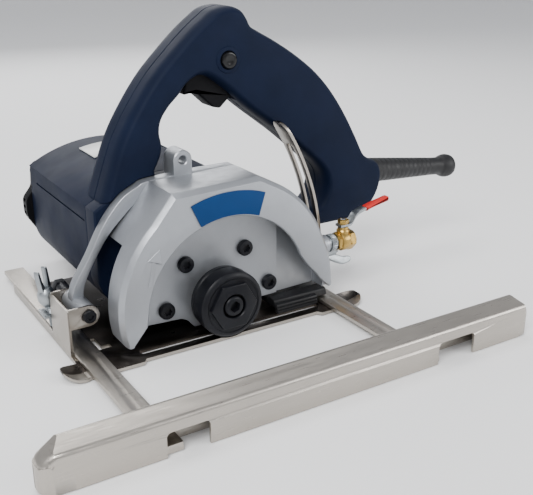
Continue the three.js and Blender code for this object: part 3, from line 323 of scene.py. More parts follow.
def spline(points, steps):
    """Catmull-Rom curve through the points."""
    result = []
    last = len(points) - 1
    for i in range(steps + 1):
        place = last * i / steps
        k = min(int(place), last - 1)
        t = place - k
        p = [Vector(points[min(max(k + j, 0), last)]) for j in (-1, 0, 1, 2)]
        tangent_in, tangent_out = (p[2] - p[0]) / 2, (p[3] - p[1]) / 2
        value = ((2 * p[1] - 2 * p[2] + tangent_in + tangent_out) * t ** 3
                 + (-3 * p[1] + 3 * p[2] - 2 * tangent_in - tangent_out) * t ** 2
                 + tangent_in * t + p[1])
        result.append(tuple(value))
    return result


def rounded(corners, steps=8):
    """Outline from corners (x, y, radius), each rounded by an arc."""
    result = []
    count = len(corners)
    for i, corner in enumerate(corners):
        here = Vector(corner[:2])
        radius = corner[2] if len(corner) > 2 else 0
        if not radius:
            result.append(tuple(here))
            continue
        back = Vector(corners[i - 1][:2]) - here
        on = Vector(corners[(i + 1) % count][:2]) - here
        longest = 0.48 * min(back.length, on.length)
        back.normalize()
        on.normalize()
        half = acos(max(-1, min(1, back.dot(on)))) / 2
        reach = min(longest, radius / tan(half))
        true_radius = reach * tan(half)
        centre = here + (back + on).normalized() * (true_radius / sin(half))
        first, last = here + back * reach - centre, here + on * reach - centre
        turn = atan2(first.x * last.y - first.y * last.x, first.dot(last))
        for k in range(steps + 1):
            a = turn * k / steps
            x = first.x * cos(a) - first.y * sin(a)
            y = first.x * sin(a) + first.y * cos(a)
            result.append((centre.x + x, centre.y + y))
    return result


def anticlockwise(points):
    area = sum(a[0] * b[1] - b[0] * a[1] for a, b in zip(points, points[1:] + points[:1]))
    return points if area > 0 else points[::-1]


def inset(points, distance):
    """Outline moved inwards, vertex by vertex, for an anticlockwise outline."""
    result = []
    count = len(points)
    for i in range(count):
        here = Vector(points[i])
        before = (here - Vector(points[i - 1])).normalized()
        after = (Vector(points[(i + 1) % count]) - here).normalized()
        normal = Vector((-(before.y + after.y), before.x + after.x)).normalized()
        reach = distance / max(0.5, -before.y * normal.x + before.x * normal.y)
        result.append(tuple(here + normal * reach))
    return result


# -------- meshes
def new_object(vertices, faces):
    mesh = bpy.data.meshes.new("solid")
    mesh.from_pydata([tuple(Vector(v) * MM) for v in vertices], [], faces)
    made = placed("solid", mesh)
    tidy_mesh(made)
    return made


def tidy_mesh(piece):
    """Welds double points and turns all faces outwards."""
    work = bmesh.new()
    work.from_mesh(piece.data)
    bmesh.ops.remove_doubles(work, verts=work.verts, dist=1e-7)
    bmesh.ops.dissolve_degenerate(work, dist=1e-7, edges=work.edges)
    bmesh.ops.recalc_face_normals(work, faces=work.faces)
    work.to_mesh(piece.data)
    work.free()


AXES = {
    "x": lambda a, b, h: (h, a, b),
    "y": lambda a, b, h: (a, h, b),
    "z": lambda a, b, h: (a, b, h),
}


def stack(rings, axis="y"):
    """Closed solid through rings of equal point counts: (outline, height) pairs."""
    place = AXES[axis]
    count = len(rings[0][0])
    vertices = [place(a, b, h) for outline, h in rings for a, b in outline]
    faces = [list(range(count)), list(range(len(vertices) - count, len(vertices)))]
    for ring in range(len(rings) - 1):
        for i in range(count):
            k = (i + 1) % count
            low = ring * count
            faces.append([low + i, low + k, low + count + k, low + count + i])
    return new_object(vertices, faces)


def prism(outline, low, high, axis="y", edge=0.0, steps=3):
    """Outline swept along an axis; edge rounds both ends, or is (at low end, at high end)."""
    outline = anticlockwise(outline)
    at_low, at_high = edge if isinstance(edge, tuple) else (edge, edge)
    rings = []
    for end, radius, inward in ((low, at_low, 1), (high, at_high, -1)):
        rim = []
        for k in range(steps + 1 if radius else 1):
            a = pi / 2 * k / steps
            shrink = radius * (1 - sin(a))
            rim.append((inset(outline, shrink) if shrink else outline,
                        end + inward * radius * (1 - cos(a))))
        rings += rim[::inward]
    return stack(rings, axis)


def lathe(profile, axis="y", centre=(0, 0), segments=64):
    """Solid of revolution from (radius, height) pairs; centre is where its axis stands."""
    place = AXES[axis]
    closed = profile[0] == profile[-1]
    points = profile[:-1] if closed else profile
    vertices, rows = [], []
    for radius, height in points:
        if radius == 0:
            rows.append([len(vertices)] * segments)
            vertices.append(place(centre[0], centre[1], height))
            continue
        rows.append([len(vertices) + i for i in range(segments)])
        for i in range(segments):
            a = 2 * pi * i / segments
            x, y = centre[0] + radius * cos(a), centre[1] + radius * sin(a)
            vertices.append(place(x, y, height))
    faces = []
    pairs = list(zip(rows, rows[1:])) + ([(rows[-1], rows[0])] if closed else [])
    for low, high in pairs:
        for i in range(segments):
            k = (i + 1) % segments
            face = [low[i], low[k], high[k], high[i]]
            face = [v for n, v in enumerate(face) if v not in face[:n]]
            if len(face) > 2:
                faces.append(face)
    return new_object(vertices, faces)


def cylinder(radius, low, high, axis="y", centre=(0, 0), segments=64):
    return lathe([(0, low), (radius, low), (radius, high), (0, high)], axis, centre, segments)


def block(low, high):
    corners = [(low[0], low[1]), (high[0], low[1]), (high[0], high[1]), (low[0], high[1])]
    return stack([(corners, low[2]), (corners, high[2])], "z")


def apply_modifiers(piece):
    graph = bpy.context.evaluated_depsgraph_get()
    graph.update()
    mesh = bpy.data.meshes.new_from_object(piece.evaluated_get(graph))
    old = piece.data
    piece.modifiers.clear()
    piece.data = mesh
    mesh.name = piece.name
    bpy.data.meshes.remove(old)
    return piece


def combine(piece, others, operation):
    """Exact boolean of a piece with others, which are used up."""
    for other in others:
        modifier = piece.modifiers.new("boolean", "BOOLEAN")
        modifier.operation = operation
        modifier.solver = "EXACT"
        modifier.object = other
        apply_modifiers(piece)
        bpy.data.objects.remove(other)
    return piece


def cut(piece, *others):
    return combine(piece, others, "DIFFERENCE")


def join(piece, *others):
    return combine(piece, others, "UNION")


def keep_inside(piece, *others):
    return combine(piece, others, "INTERSECT")


def bevel(piece, width, segments, angle):
    modifier = piece.modifiers.new("bevel", "BEVEL")
    modifier.width = width * MM
    modifier.segments = segments
    modifier.limit_method = "ANGLE"
    modifier.angle_limit = radians(angle)
    modifier.use_clamp_overlap = True
    modifier.harden_normals = False
    return apply_modifiers(piece)


def moved(piece, matrix):
    piece.data.transform(matrix)
    return piece


def shade(piece, angle=32):
    piece.data.shade_smooth()
    work = bmesh.new()
    work.from_mesh(piece.data)
    limit = radians(angle)
    for edge in work.edges:
        edge.smooth = len(edge.link_faces) == 2 and edge.calc_face_angle(pi) < limit
    work.to_mesh(piece.data)
    work.free()


def stands_for(piece, node, angle=32, name=None):
    """Hands a finished piece in for a CAD node, with its body and material."""
    piece.name = (name or node) + "_fine"
    piece.data.name = piece.name
    shade(piece, angle)
    piece.data.materials.clear()
    piece.data.materials.append(MATERIAL[SLOT_OF[node]])
    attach(piece, BODY_OF[node])
    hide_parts(node)


def refined(node, width):
    """Stands in for a CAD node: a copy with its flat faces restored and its edges rounded."""
    piece = placed(node, frame["nodes"][node].data.copy())
    work = bmesh.new()
    work.from_mesh(piece.data)
    bmesh.ops.remove_doubles(work, verts=work.verts, dist=2e-6)
    bmesh.ops.dissolve_limit(work, angle_limit=radians(0.6), verts=work.verts, edges=work.edges)
    work.to_mesh(piece.data)
    work.free()
    bevel(piece, width, 2, 32)
    stands_for(piece, node)


make_camera()
make_studio()
make_floor()

for node, cad in frame["nodes"].items():
    cad.material_slots[0].link = "OBJECT"
    cad.material_slots[0].material = MATERIAL[SLOT_OF[node]]

# -------- places taken from the frame
SPINDLE = joint_place("spindle_spin")
ARMATURE = joint_place("armature_spin")
PIVOT = joint_place("depth_tilt")
STEM = joint_place("valve_turn")
SPINDLE_XZ, ARMATURE_XZ = (SPINDLE.x, SPINDLE.z), (ARMATURE.x, ARMATURE.z)
PIVOT_XZ = (PIVOT.x, PIVOT.z)
WATER_YZ, STEM_XY = (STEM.y, STEM.z), (STEM.x, STEM.y)
DEPTH_NUT = joint_place("depth_nut_turn")
CASING_LOW, CASING_HIGH = cad_box("motor_housing")
LEFT, RIGHT, BOTTOM, TOP = CASING_LOW.x, CASING_HIGH.x, CASING_LOW.z, CASING_HIGH.z
NEAR_HALF, FAR_HALF = cad_box("handle_near_half"), cad_box("handle_far_half")
MID_Y = (NEAR_HALF[1].y + FAR_HALF[0].y) / 2
GAP = 0.3


# -------- cutters
def flared(outline, face, far, flare):
    """Cutter whose mouth widens by flare where it meets the face; far is its inner end."""
    outline = anticlockwise(outline)
    side = 1 if far > face else -1
    wide = inset(outline, -flare)
    rings = [(wide, face - side), (wide, face), (outline, face + side * flare), (outline, far)]
    return stack(rings)


def drill(radius, face, far, centre, axis="y", flare=0.4, segments=48):
    """Round cutter from a face inwards, with a chamfer at the mouth."""
    side = 1 if far > face else -1
    profile = [(0, face - side), (radius + flare, face - side), (radius + flare, face),
               (radius, face + side * flare), (radius, far), (0, far)]
    return lathe(profile, axis, centre, segments)


def rod(radius, low, high, centre, edge=0.3):
    profile = [(0, low), (radius - edge, low), (radius, low + edge), (radius, high - edge),
               (radius - edge, high), (0, high)]
    return lathe(profile, "y", centre)


def star(radius, depth, lobes=6, steps=48):
    """Outline of a lobed socket."""
    points = []
    for i in range(steps):
        a = 2 * pi * i / steps
        r = radius - depth * (0.5 - 0.5 * cos(lobes * a))
        points.append((r * cos(a), r * sin(a)))
    return points


def polygon(sides, radius, turn=0.0, centre=(0, 0)):
    angles = [turn + 2 * pi * i / sides for i in range(sides)]
    return [(centre[0] + radius * cos(a), centre[1] + radius * sin(a)) for a in angles]


def shifted(points, x, y):
    return [(a + x, b + y) for a, b in points]


def socket(mouth, bottom, face, depth):
    """Cutter for a driver socket, from just above a face down to its depth."""
    return stack([(mouth, face - 1), (bottom, face + depth)])


# -------- handle
LOCK = (23.5, 157)
HANDLE_SCREWS = [(22, 176), (112, 100), (-47, 98)]
HANDLE_WALL = 4.5
CROWN_DEPTH, CROWN_IN = 9, 4


def casing_arch():
    """Middle, centre height and radius of the casing's arched top."""
    half, rise = (RIGHT - LEFT) / 2, 14.5
    radius = (half ** 2 + rise ** 2) / (2 * rise)
    return (LEFT + RIGHT) / 2, TOP - radius, radius


def casing_outline(offset=0.0):
    """Cross-section of the motor casing: arched top, rounded bottom corners."""
    corner = 24
    middle, height, arch = casing_arch()
    spread = degrees(asin((RIGHT - LEFT) / 2 / arch))
    points = (arc(LEFT + corner, BOTTOM + corner, corner, 180, 270, 18)
              + arc(RIGHT - corner, BOTTOM + corner, corner, 270, 360, 18)
              + arc(middle, height, arch, 90 - spread, 90 + spread, 36))
    return inset(points, offset) if offset else points


def handle_outline():
    front_leg = spline([
        (-63.5, 70), (-60, 80), (-54.1, 96.8), (-46.6, 115.6), (-36.2, 133.1), (-23.8, 149.7),
        (-10.7, 163), (0.9, 173.6), (11, 181.4), (18, 185.8), (27, 187.3), (34.5, 185.2),
        (38.6, 180.5), (41.4, 175.6), (47.5, 171.9), (59.6, 165.4), (74.5, 156.2), (89.5, 144.8),
        (102.3, 131.4), (113.8, 115.4), (123.4, 99.2), (130.8, 86), (137.5, 80.6), (144, 77.3),
        (147, 70),
        (146.2, 61), (142.5, 52.5), (136, 45), (128, 41), (118, 39.3)], 150)
    under_bar = [(104, 39.3), (34, 39.3)]
    over_bar = [(34, 52), (82, 52)]
    rear_leg = spline([
        (86, 52.2), (93, 53.6), (97.6, 59), (99.8, 67), (98, 75.6), (92, 83.4), (84, 90.4),
        (68.4, 103.6), (55, 113.8), (41.5, 124), (32, 132), (22, 140.5), (9, 148.6), (-1, 145.6),
        (-8.1, 138), (-14.5, 132), (-19.5, 125), (-20.9, 118), (-19.8, 110.5), (-21, 104),
        (-25, 96)], 110)
    foot = [(-25, 60), (-63.5, 60)]
    return anticlockwise(front_leg + under_bar + over_bar + rear_leg + foot)


def handle_body(seam, end):
    """Half of the handle, from the seam to its crowned side."""
    side = 1 if end > seam else -1
    outline = handle_outline()
    rings = [(inset(outline, 0.5), seam), (outline, seam + side * 0.5)]
    steps = 9
    for k in range(steps + 1):
        a = pi / 2 * k / steps
        rings.append((inset(outline, CROWN_IN * (1 - cos(a))), end - side * CROWN_DEPTH * (1 - sin(a))))
    half = stack(rings)
    hollow = stack([
        (inset(outline, HANDLE_WALL), seam - side), (inset(outline, HANDLE_WALL), end - side * 3.5)])
    return cut(half, hollow)


def ring_outline():
    """Outline of the ring flange behind the guard's hood, with the arm down to the pivot."""
    outside = spline([(22.4, 95), (-6, 94.6), (-34, 93), (-41, 90.6), (-51.5, 84.6), (-63.2, 71),
                      (-73.2, 53.5), (-83, 37.5), (-86.4, PIVOT.z - 0.7)], 60)
    inside = spline([(-77.7, PIVOT.z - 0.7), (-76.6, 38), (-63.5, 60.5), (-51, 74), (-33, 89.4)], 40)
    return anticlockwise([(21, 91.4)] + outside + inside)


def make_handle_half(node, seam, end):
    side = 1 if end > seam else -1
    half = handle_body(seam, end)
    deep = seam + side * 12.4
    half = join(half, *[rod(4.4, min(seam, deep), max(seam, deep), place) for place in HANDLE_SCREWS])
    seat = stack([(casing_outline(-GAP), -60), (casing_outline(-GAP), 60)])
    mouth = prism(rounded([
        (-4.5, 134, 2), (-3, 153, 3), (0, 157.5, 2), (11, 157.5, 3), (36, 138, 4), (31, 125, 2),
        (10, 118, 2)]), MID_Y - 8.4, MID_Y + 8.4)
    room = stack([(inset(ring_outline(), -0.8), -30), (inset(ring_outline(), -0.8), -21.2)])
    boot_room = moved(cylinder(9, -8, 12, "x"), BOOT_PLACE)
    half = cut(half, seat, mouth, room, boot_room)
    if side < 0:
        boss = lathe([(0, end + 6), (8.2, end + 6), (8.2, end + 0.4), (7.6, end - 0.5),
                      (6.6, end - 0.8), (0, end - 0.8)], "y", LOCK, 96)
        half = join(half, boss)
        half = cut(half, lathe([(0, end - 3), (5.9, end - 3), (5.5, end + 0.2), (5.5, MID_Y - 4),
                                (0, MID_Y - 4)], "y", LOCK, 96))
        bores = [drill(2, seam + 1, MID_Y - 11, place, flare=0) for place in HANDLE_SCREWS]
    else:
        bores = [lathe([(0, seam - 2), (2, seam - 2), (2, MID_Y + 10), (3.9, MID_Y + 10),
                        (3.9, end + 1), (0, end + 1)], "y", place) for place in HANDLE_SCREWS]
    half = cut(half, *bores)
    stands_for(half, node, angle=28)


BOOT_DROOP = 5.5
BOOT_PLACE = (Matrix.Translation(Vector((143, MID_Y, 68.4)) * MM)
              @ Matrix.Rotation(radians(BOOT_DROOP), 4, "Y"))


def make_boot():
    length = 84
    profile = [(3.6, -7), (8.8, -7), (8.8, -1), (8.8, 5)]
    rings, first, pitch, taper = 12, 6.5, 4.4, 0.17
    for k in range(rings):
        start = first + pitch * k
        radius = 8.7 - taper * k
        profile += [(radius, start), (radius - 0.05, start + 3.4), (radius - 0.22, start + 3.7),
                    (radius - 0.22, start + 4.1)]
    profile += spline([(6.6, 60.5), (6.5, 66), (6.7, 71), (7.7, 73.2), (8.6, 76.4), (8.6, 79.4),
                       (7.7, 82.4), (5.8, length)], 30)
    profile += [(3.6, length), (3.6, -7)]
    boot = moved(lathe(profile, "x", segments=72), BOOT_PLACE)
    stands_for(boot, "cord_boot", angle=40)


def make_trigger():
    outline = rounded([
        (-2.6, 137.2, 1), (6, 138.4, 1.5), (17.2, 128.2, 2), (22.2, 127, 2.2), (30, 134.2, 1.5),
        (22.5, 145, 2), (8, 154.5, 3), (0, 152, 3)])
    trigger = prism(outline, MID_Y - 8, MID_Y + 8, edge=1.6, steps=5)
    stands_for(trigger, "trigger")


def make_lock_button():
    low, high = cad_box("lock_button")
    front, back = low.y, high.y
    profile = [(0, front + 0.5), (2.2, front + 0.3), (3.6, front), (4.5, front + 0.3),
               (5.1, front + 1.2), (5.2, front + 2), (5.2, back), (0, back)]
    stands_for(lathe(profile, "y", LOCK, 64), "lock_button")


def make_handle_screws():
    for number, place in enumerate(HANDLE_SCREWS, 1):
        base = MID_Y + 10.3
        profile = [(0, MID_Y - 9), (1.7, MID_Y - 9), (1.7, base), (3.5, base), (3.5, base + 1.4),
                   (2.9, base + 2.5), (0, base + 2.5)]
        screw = lathe(profile, "y", place, 40)
        arms = [block((place[0] - a, base + 1, place[1] - b), (place[0] + a, base + 4, place[1] + b))
                for a, b in ((2, 0.4), (0.4, 2))]
        stands_for(cut(screw, *arms), "handle_screw_%d" % number, name="handle_screw")


make_handle_half("handle_near_half", NEAR_HALF[1].y, NEAR_HALF[0].y + 0.8)
make_handle_half("handle_far_half", FAR_HALF[0].y, FAR_HALF[1].y)
make_boot()
make_trigger()
make_lock_button()
make_handle_screws()

# -------- guard
FRONT_Y = cad_box("blade_guard")[0].y
RECESS_Y, BACK_Y, SKIN = -48.5, -44.5, 3.0
RIM_X, RIM_Z, RIM = 2, 25, 71.5
WINDOW = (1.5, 20, 54)
RING_Y = (-29.5, -21.8)
GUARD_SCREWS = [(-22, 45.2), (18.3, 47.8), (35.7, 21.2), (-35.4, 18.4)]
LUG = (-12, 102.5)


def guard_outside():
    """From below the right foot over the flat crown and down past the left tip."""
    foot = [(77.6, -20), (77.6, 15.2), (77, 22), (75.9, 30), (74.1, 38), (71, 45.8)]
    return (foot + arc(RIM_X, RIM_Z, RIM, 21, 64, 36)
            + [(22.4, 95), (-34, 93)] + arc(RIM_X, RIM_Z, RIM, 133, 193, 44) + [(-67.7, -20)])


def guard_underside():
    """Everything below the guard's lower edge."""
    return ([(-100, -40), (100, -40), (100, 15.2), (76, 15.2), (69, 13)]
            + spline([(31, 12), (24, 8.2), (18.5, 3.8), (17, 3.2)], 9)
            + spline([(-17, 3.2), (-21.5, 8.4), (-25.5, 10.4), (-27, 10.6)], 9)
            + spline([(-56, 12), (-58.6, 9.4), (-61.6, 7.4), (-64.6, 7.0), (-67, 8.6), (-69, 12)], 14)
            + [(-100, 12)])


def window_outline():
    left = [(-61.8, 7.6), (-53.3, 17.8)]
    rim = arc(*WINDOW, 168, 22, 72)
    right = spline([(53.4, 37.4), (58.3, 30.8), (63.6, 25), (66.8, 20.7), (73.3, 14.6)], 16)
    return anticlockwise(left + rim + right + [(73.3, -5), (-61.8, -5)])


def make_guard():
    pan_outline = anticlockwise(guard_outside())
    rings = [(inset(pan_outline, 3.0), FRONT_Y), (inset(pan_outline, 2.6), FRONT_Y + 0.12),
             (inset(pan_outline, 0.5), FRONT_Y + 2.5), (inset(pan_outline, 0.15), FRONT_Y + 3.1),
             (pan_outline, FRONT_Y + 3.9), (pan_outline, BACK_Y)]
    guard = stack(rings)
    guard = cut(guard, prism(guard_underside(), FRONT_Y - 2, BACK_Y + 2))
    inner = RIM - SKIN
    cavity = prism([(RIM_X + inner, -5)] + arc(RIM_X, RIM_Z, inner, 0, 64, 40)
                   + [(21, 91.4), (-32.6, 89.6)] + arc(RIM_X, RIM_Z, inner, 133, 193, 44)
                   + [(RIM_X - inner + 2, -5)], FRONT_Y + SKIN, RECESS_Y, edge=(0, 1.2))
    window = flared(window_outline(), FRONT_Y, FRONT_Y + SKIN + 0.5, 0.55)
    pocket = prism([(42, -2), (RIM_X + inner, -2)]
                   + arc(RIM_X, RIM_Z, inner, 4, 54, 24) + [(42, 60)],
                   RECESS_Y - 0.5, RECESS_Y + 1.6, edge=(0, 0.5))
    bores = [drill(2.7, RECESS_Y, BACK_Y + 1, place) for place in GUARD_SCREWS]
    spindle_bore = drill(12, RECESS_Y, BACK_Y + 1, SPINDLE_XZ, flare=0.8, segments=96)
    guard = cut(guard, cavity, window, pocket, spindle_bore, *bores)
    hood_inner = inner - 0.5
    hood = prism(arc(RIM_X, RIM_Z, RIM - 0.1, 60, 64, 4) + [(22.4, 94.9), (-34, 92.9)]
                 + arc(RIM_X, RIM_Z, RIM - 0.1, 133, 148, 12)
                 + arc(RIM_X, RIM_Z, hood_inner, 148, 133, 12) + [(-32.4, 89.3), (20.8, 91.2)]
                 + arc(RIM_X, RIM_Z, hood_inner, 64, 60, 4), BACK_Y - 0.5, RING_Y[1] - 0.2)
    ring = prism(ring_outline(), *RING_Y, edge=0.5, steps=3)
    pivot_lug = rod(6, -42.7, -15.3, PIVOT_XZ)
    eye = rod(6, -30.5, -16.5, LUG, edge=0.6)
    post = prism([(LUG[0] - 6, 91.9), (LUG[0] + 6, 91.9), (LUG[0] + 6, LUG[1]), (LUG[0] - 6, LUG[1])],
                 -30.5, -16.5, edge=0.6)
    inlet_profile = [(0, 69.6), (6.2, 69.6), (6.2, 79.7), (5.6, 80.3), (0, 80.3)]
    inlet = lathe(inlet_profile, "x", WATER_YZ, 64)
    keep_inside(inlet, block((60, FRONT_Y - 1, 0), (100, STEM.y + 8, 80)))
    arm = join(ring, pivot_lug)
    guard = join(guard, hood, arm, join(eye, post), inlet)
    waterway = cylinder(3, 60, 87, "x", WATER_YZ, 32)
    eye_hole = lathe([
        (0, -32), (3.2, -32), (3.2, -30.5), (2.6, -29.9), (2.6, -15.5), (0, -15.5)], "y", LUG, 40)
    pivot_hole = drill(3.4, -44.5, -14, PIVOT_XZ, flare=0)
    guard = cut(guard, waterway, eye_hole, pivot_hole)
    arrow = prism(rounded([
        (-52, 42, 0.3), (-49.6, 42, 0.3), (-46.2, 55.6, 0.2), (-42.8, 54, 0.2), (-43.6, 63.6, 0.3),
        (-51.8, 57.4, 0.2), (-48.6, 56.4, 0.2)]), FRONT_Y - 0.35, FRONT_Y + 1, edge=(0.25, 0))
    stands_for(join(guard, arrow), "blade_guard", angle=24)


def make_badge():
    low, high = cad_box("guard_badge")
    x, z = WINDOW[:2]
    sector = arc(x, z, 69.6, 70.5, 111.5, 40) + arc(x, z, 55.2, 110.5, 70, 40)
    badge = prism(sector, low.y, high.y, edge=(0.2, 0))
    line = inset(anticlockwise(sector), 0.9)
    inside = inset(anticlockwise(sector), 1.35)
    groove = cut(stack([(line, low.y - 1), (line, low.y + 0.12)]),
                 stack([(inside, low.y - 2), (inside, low.y + 1)]))
    stands_for(cut(badge, groove), "guard_badge")


def make_guard_screws():
    for number, (x, z) in enumerate(GUARD_SCREWS, 1):
        low, high = cad_box("guard_screw_%d" % number)
        head = RECESS_Y - GAP
        front = low.y
        profile = [(0, front), (3.9, front), (4.6, front + 0.3), (4.95, front + 0.9), (5, head),
                   (2.4, head), (2.4, high.y), (0, high.y)]
        screw = lathe(profile, "y", (x, z), 56)
        lobes = shifted(star(2.7, 0.75), x, z)
        stands_for(cut(screw, socket(lobes, lobes, front, 1.9)), "guard_screw_%d" % number,
                   name="guard_screw")


make_guard()
make_badge()
make_guard_screws()


# -------- blade flanges and bolt
def make_flange_nut():
    low, high = cad_box("outer_flange_nut")
    radius = (high.z - low.z) / 2
    seam = high.y
    disc = [(0, -70.4), (radius - 2.6, -70.4), (radius - 2.2, -70.35), (radius - 0.8, -69.5),
            (radius - 0.2, -68.9), (radius, -68.2), (radius, -60.2), (radius - 0.3, -59.8),
            (radius - 1, seam), (0, seam)]
    nut = lathe(disc, "y", SPINDLE_XZ, 128)
    groove = lathe([(16.4, -72), (17.2, -72), (17.2, -70.0), (16.4, -70.0), (16.4, -72)], "y",
                   SPINDLE_XZ, 96)
    nut = cut(nut, groove)
    hexagon = prism(polygon(6, 15.5, 0, SPINDLE_XZ), low.y, -69, edge=(0.5, 0), steps=2)
    shoulder = lathe([
        (0, low.y - 1), (13.6, low.y - 1), (16, -71.3), (16, -60), (0, -60)], "y", SPINDLE_XZ, 96)
    nut = join(nut, keep_inside(hexagon, shoulder))
    seat = drill(7.6, low.y, -66.2, SPINDLE_XZ, flare=0.5, segments=72)
    bore = drill(6, -67, -50, SPINDLE_XZ, flare=0, segments=48)
    stands_for(cut(nut, seat, bore), "outer_flange_nut", angle=25)


def make_blade_bolt():
    low, high = cad_box("blade_bolt")
    profile = [(0, low.y), (4.8, low.y), (5.7, low.y + 0.4), (6.2, low.y + 1.1), (6.2, -66.5),
               (2.9, -65.5), (2.9, high.y), (0, high.y)]
    bolt = lathe(profile, "y", SPINDLE_XZ, 72)
    hexagon = socket(polygon(6, 3.6, 0.3, SPINDLE_XZ), polygon(6, 3.5, 0.3, SPINDLE_XZ), low.y, 3.4)
    stands_for(cut(bolt, hexagon), "blade_bolt")


def make_inner_flange():
    low = cad_box("inner_flange")[0]
    profile = [(6, low.y), (18.6, low.y), (19.4, low.y + 0.3), (20, -57.4), (20, -55), (17, -53.6),
               (11.4, -52.2), (11, -51.6), (11, -45), (6, -45), (6, low.y)]
    stands_for(lathe(profile, "y", SPINDLE_XZ, 96), "inner_flange")


make_flange_nut()
make_blade_bolt()
make_inner_flange()


# -------- motor casing
def make_collar():
    low, high = cad_box("housing_collar")
    collar = prism(casing_outline(), low.y, high.y, edge=(1.4, 0.3), steps=4)
    hollow = prism(casing_outline(3), low.y + 7, high.y + 1)
    seats = [drill(11.3, low.y, low.y + 8, ARMATURE_XZ), drill(9.8, low.y, low.y + 5.8, SPINDLE_XZ)]
    stands_for(cut(collar, hollow, *seats), "housing_collar")


def make_motor_housing():
    low, high = cad_box("motor_housing")
    housing = prism(casing_outline(), low.y, high.y, edge=0.5)
    hollow = prism(casing_outline(3), low.y - 1, high.y + 1)
    groove = block((low.x - 1, low.y + 3, 66.7), (low.x + 0.8, high.y - 14, 67.9))
    vents = []
    for z in (61, 65.4, 69.8, 74.2):
        slot = rounded([(high.y - 3, z, 1.2), (high.y + 1, z), (high.y + 1, z + 2.4),
                        (high.y - 3, z + 2.4, 1.2)], 8)
        vents.append(stack([(slot, low.x - 1), (slot, low.x + 4)], "x"))
    centre = Matrix.Translation(Vector((ARMATURE.x, 80, ARMATURE.z)) * MM)
    ports = [moved(cylinder(6.3, 30, 70, "x", segments=48),
                   centre @ Matrix.Rotation(-radians(angle), 4, "Y")) for angle in (45, 225)]
    stands_for(cut(housing, hollow, groove, *vents, *ports), "motor_housing")


def make_end_cover():
    low, high = cad_box("motor_end_cover")
    start, end = CASING_HIGH.y + GAP, high.y
    shoulder = 77
    outline = anticlockwise(rounded([
        (LEFT + 12, BOTTOM + 1, 16), (RIGHT - 12, BOTTOM + 1, 16), (RIGHT + 3.5, 48, 40),
        (RIGHT - 3, shoulder - 1, 6), ((LEFT + RIGHT) / 2, TOP - 1, 60), (LEFT + 3, shoulder - 1, 6),
        (LEFT + 2, 60, 8), (LEFT - 4.5, 52, 8), (LEFT - 4.5, 40, 12)], 12))
    cover = prism(outline, start, end, edge=(0.4, 5), steps=6)
    hollow = prism(casing_outline(5), start - 1, end - 4)
    slots = []
    for row in range(-2, 3):
        z = ARMATURE.z + 9 * row
        slot = rounded([(ARMATURE.x - 24, z - 2, 1.9), (ARMATURE.x + 24, z - 2, 1.9),
                        (ARMATURE.x + 24, z + 2, 1.9), (ARMATURE.x - 24, z + 2, 1.9)], 5)
        slots.append(stack([(slot, end - 6), (slot, end + 1)]))
    for row in range(4):
        z = 36 + 4.6 * row
        slots.append(block((LEFT - 12, start + 3, z), (LEFT - 2.4, start + 9, z + 2.2)))
    cover = cut(cover, hollow, *slots)
    hub = rod(13.5, low.y, end - 1, ARMATURE_XZ)
    seat = drill(9.8, low.y, end - 5, ARMATURE_XZ)
    stands_for(cut(join(cover, hub), seat), "motor_end_cover")


def make_nameplate():
    low, high = cad_box("nameplate")
    middle, height, arch = casing_arch()
    band = (arc(middle, height, arch + GAP + 0.7, 80, 103, 24)
            + arc(middle, height, arch + GAP, 103, 80, 24))
    stands_for(prism(band, low.y, high.y, edge=0.15, steps=2), "nameplate")


make_collar()
make_motor_housing()
make_end_cover()
make_nameplate()

# -------- base plate and what stands on it
for node in ("base_plate", "gear_housing", "depth_quadrant", "guide_arm_front", "guide_arm_rear",
             "guide_bridge_front", "guide_bridge_rear", "splash_bracket", "trigger_switch"):
    refined(node, 0.5 if node == "gear_housing" else 0.25)


def make_splash_block():
    low, high = cad_box("splash_block")
    profile = [(low.y, low.z, 1), (high.y, low.z, 1), (high.y, high.z - 2, 1.5),
               (high.y - 3, high.z, 1), (-42, high.z, 1), (-44, high.z - 5, 0.8),
               (-46.5, high.z - 5, 0.8), (-48, high.z - 2.4, 1), (low.y + 1, high.z - 3.2, 1.5)]
    splash = prism(rounded(profile, 6), low.x, high.x, "x", edge=0.5)
    skirt = prism(rounded([(low.y - 3.4, 2.5, 0.6), (low.y + 0.4, 2.5), (low.y + 0.4, 8.6),
                           (low.y - 2.2, 8.2, 0.8)], 5), low.x, low.x + 31, "x", edge=0.5)
    grooves = [block((low.x - 1, low.y - 4, z), (high.x + 1, low.y - 2.2 + lift, z + 0.8))
               for z, lift in ((4.3, 0), (6.2, 0.4))]
    stands_for(cut(join(splash, skirt), *grooves), "splash_block")


def make_pivot():
    low, high = cad_box("pivot_bolt")
    profile = [(0, low.y), (3.0, low.y), (3.6, low.y + 0.25), (3.8, low.y + 0.7), (3.8, -44.8),
               (3, -44.8), (3, high.y - 0.6), (2.5, high.y), (0, high.y)]
    bolt = lathe(profile, "y", PIVOT_XZ, 48)
    hexagon = socket(polygon(6, 2.2, 0.2, PIVOT_XZ), polygon(6, 2.1, 0.2, PIVOT_XZ), low.y, 1.2)
    stands_for(cut(bolt, hexagon), "pivot_bolt")
    low, high = cad_box("pivot_nut")
    sleeve = lathe([(3.3, low.y), (4.1, low.y), (4.1, 2), (3.3, 2), (3.3, low.y)], "y", PIVOT_XZ, 48)
    nut = prism(polygon(6, 5, 0, PIVOT_XZ), 1.5, high.y, edge=(0.2, 0.5), steps=2)
    nut = cut(nut, drill(3.3, high.y, 0, PIVOT_XZ, flare=0.2))
    stands_for(join(sleeve, nut), "pivot_nut")


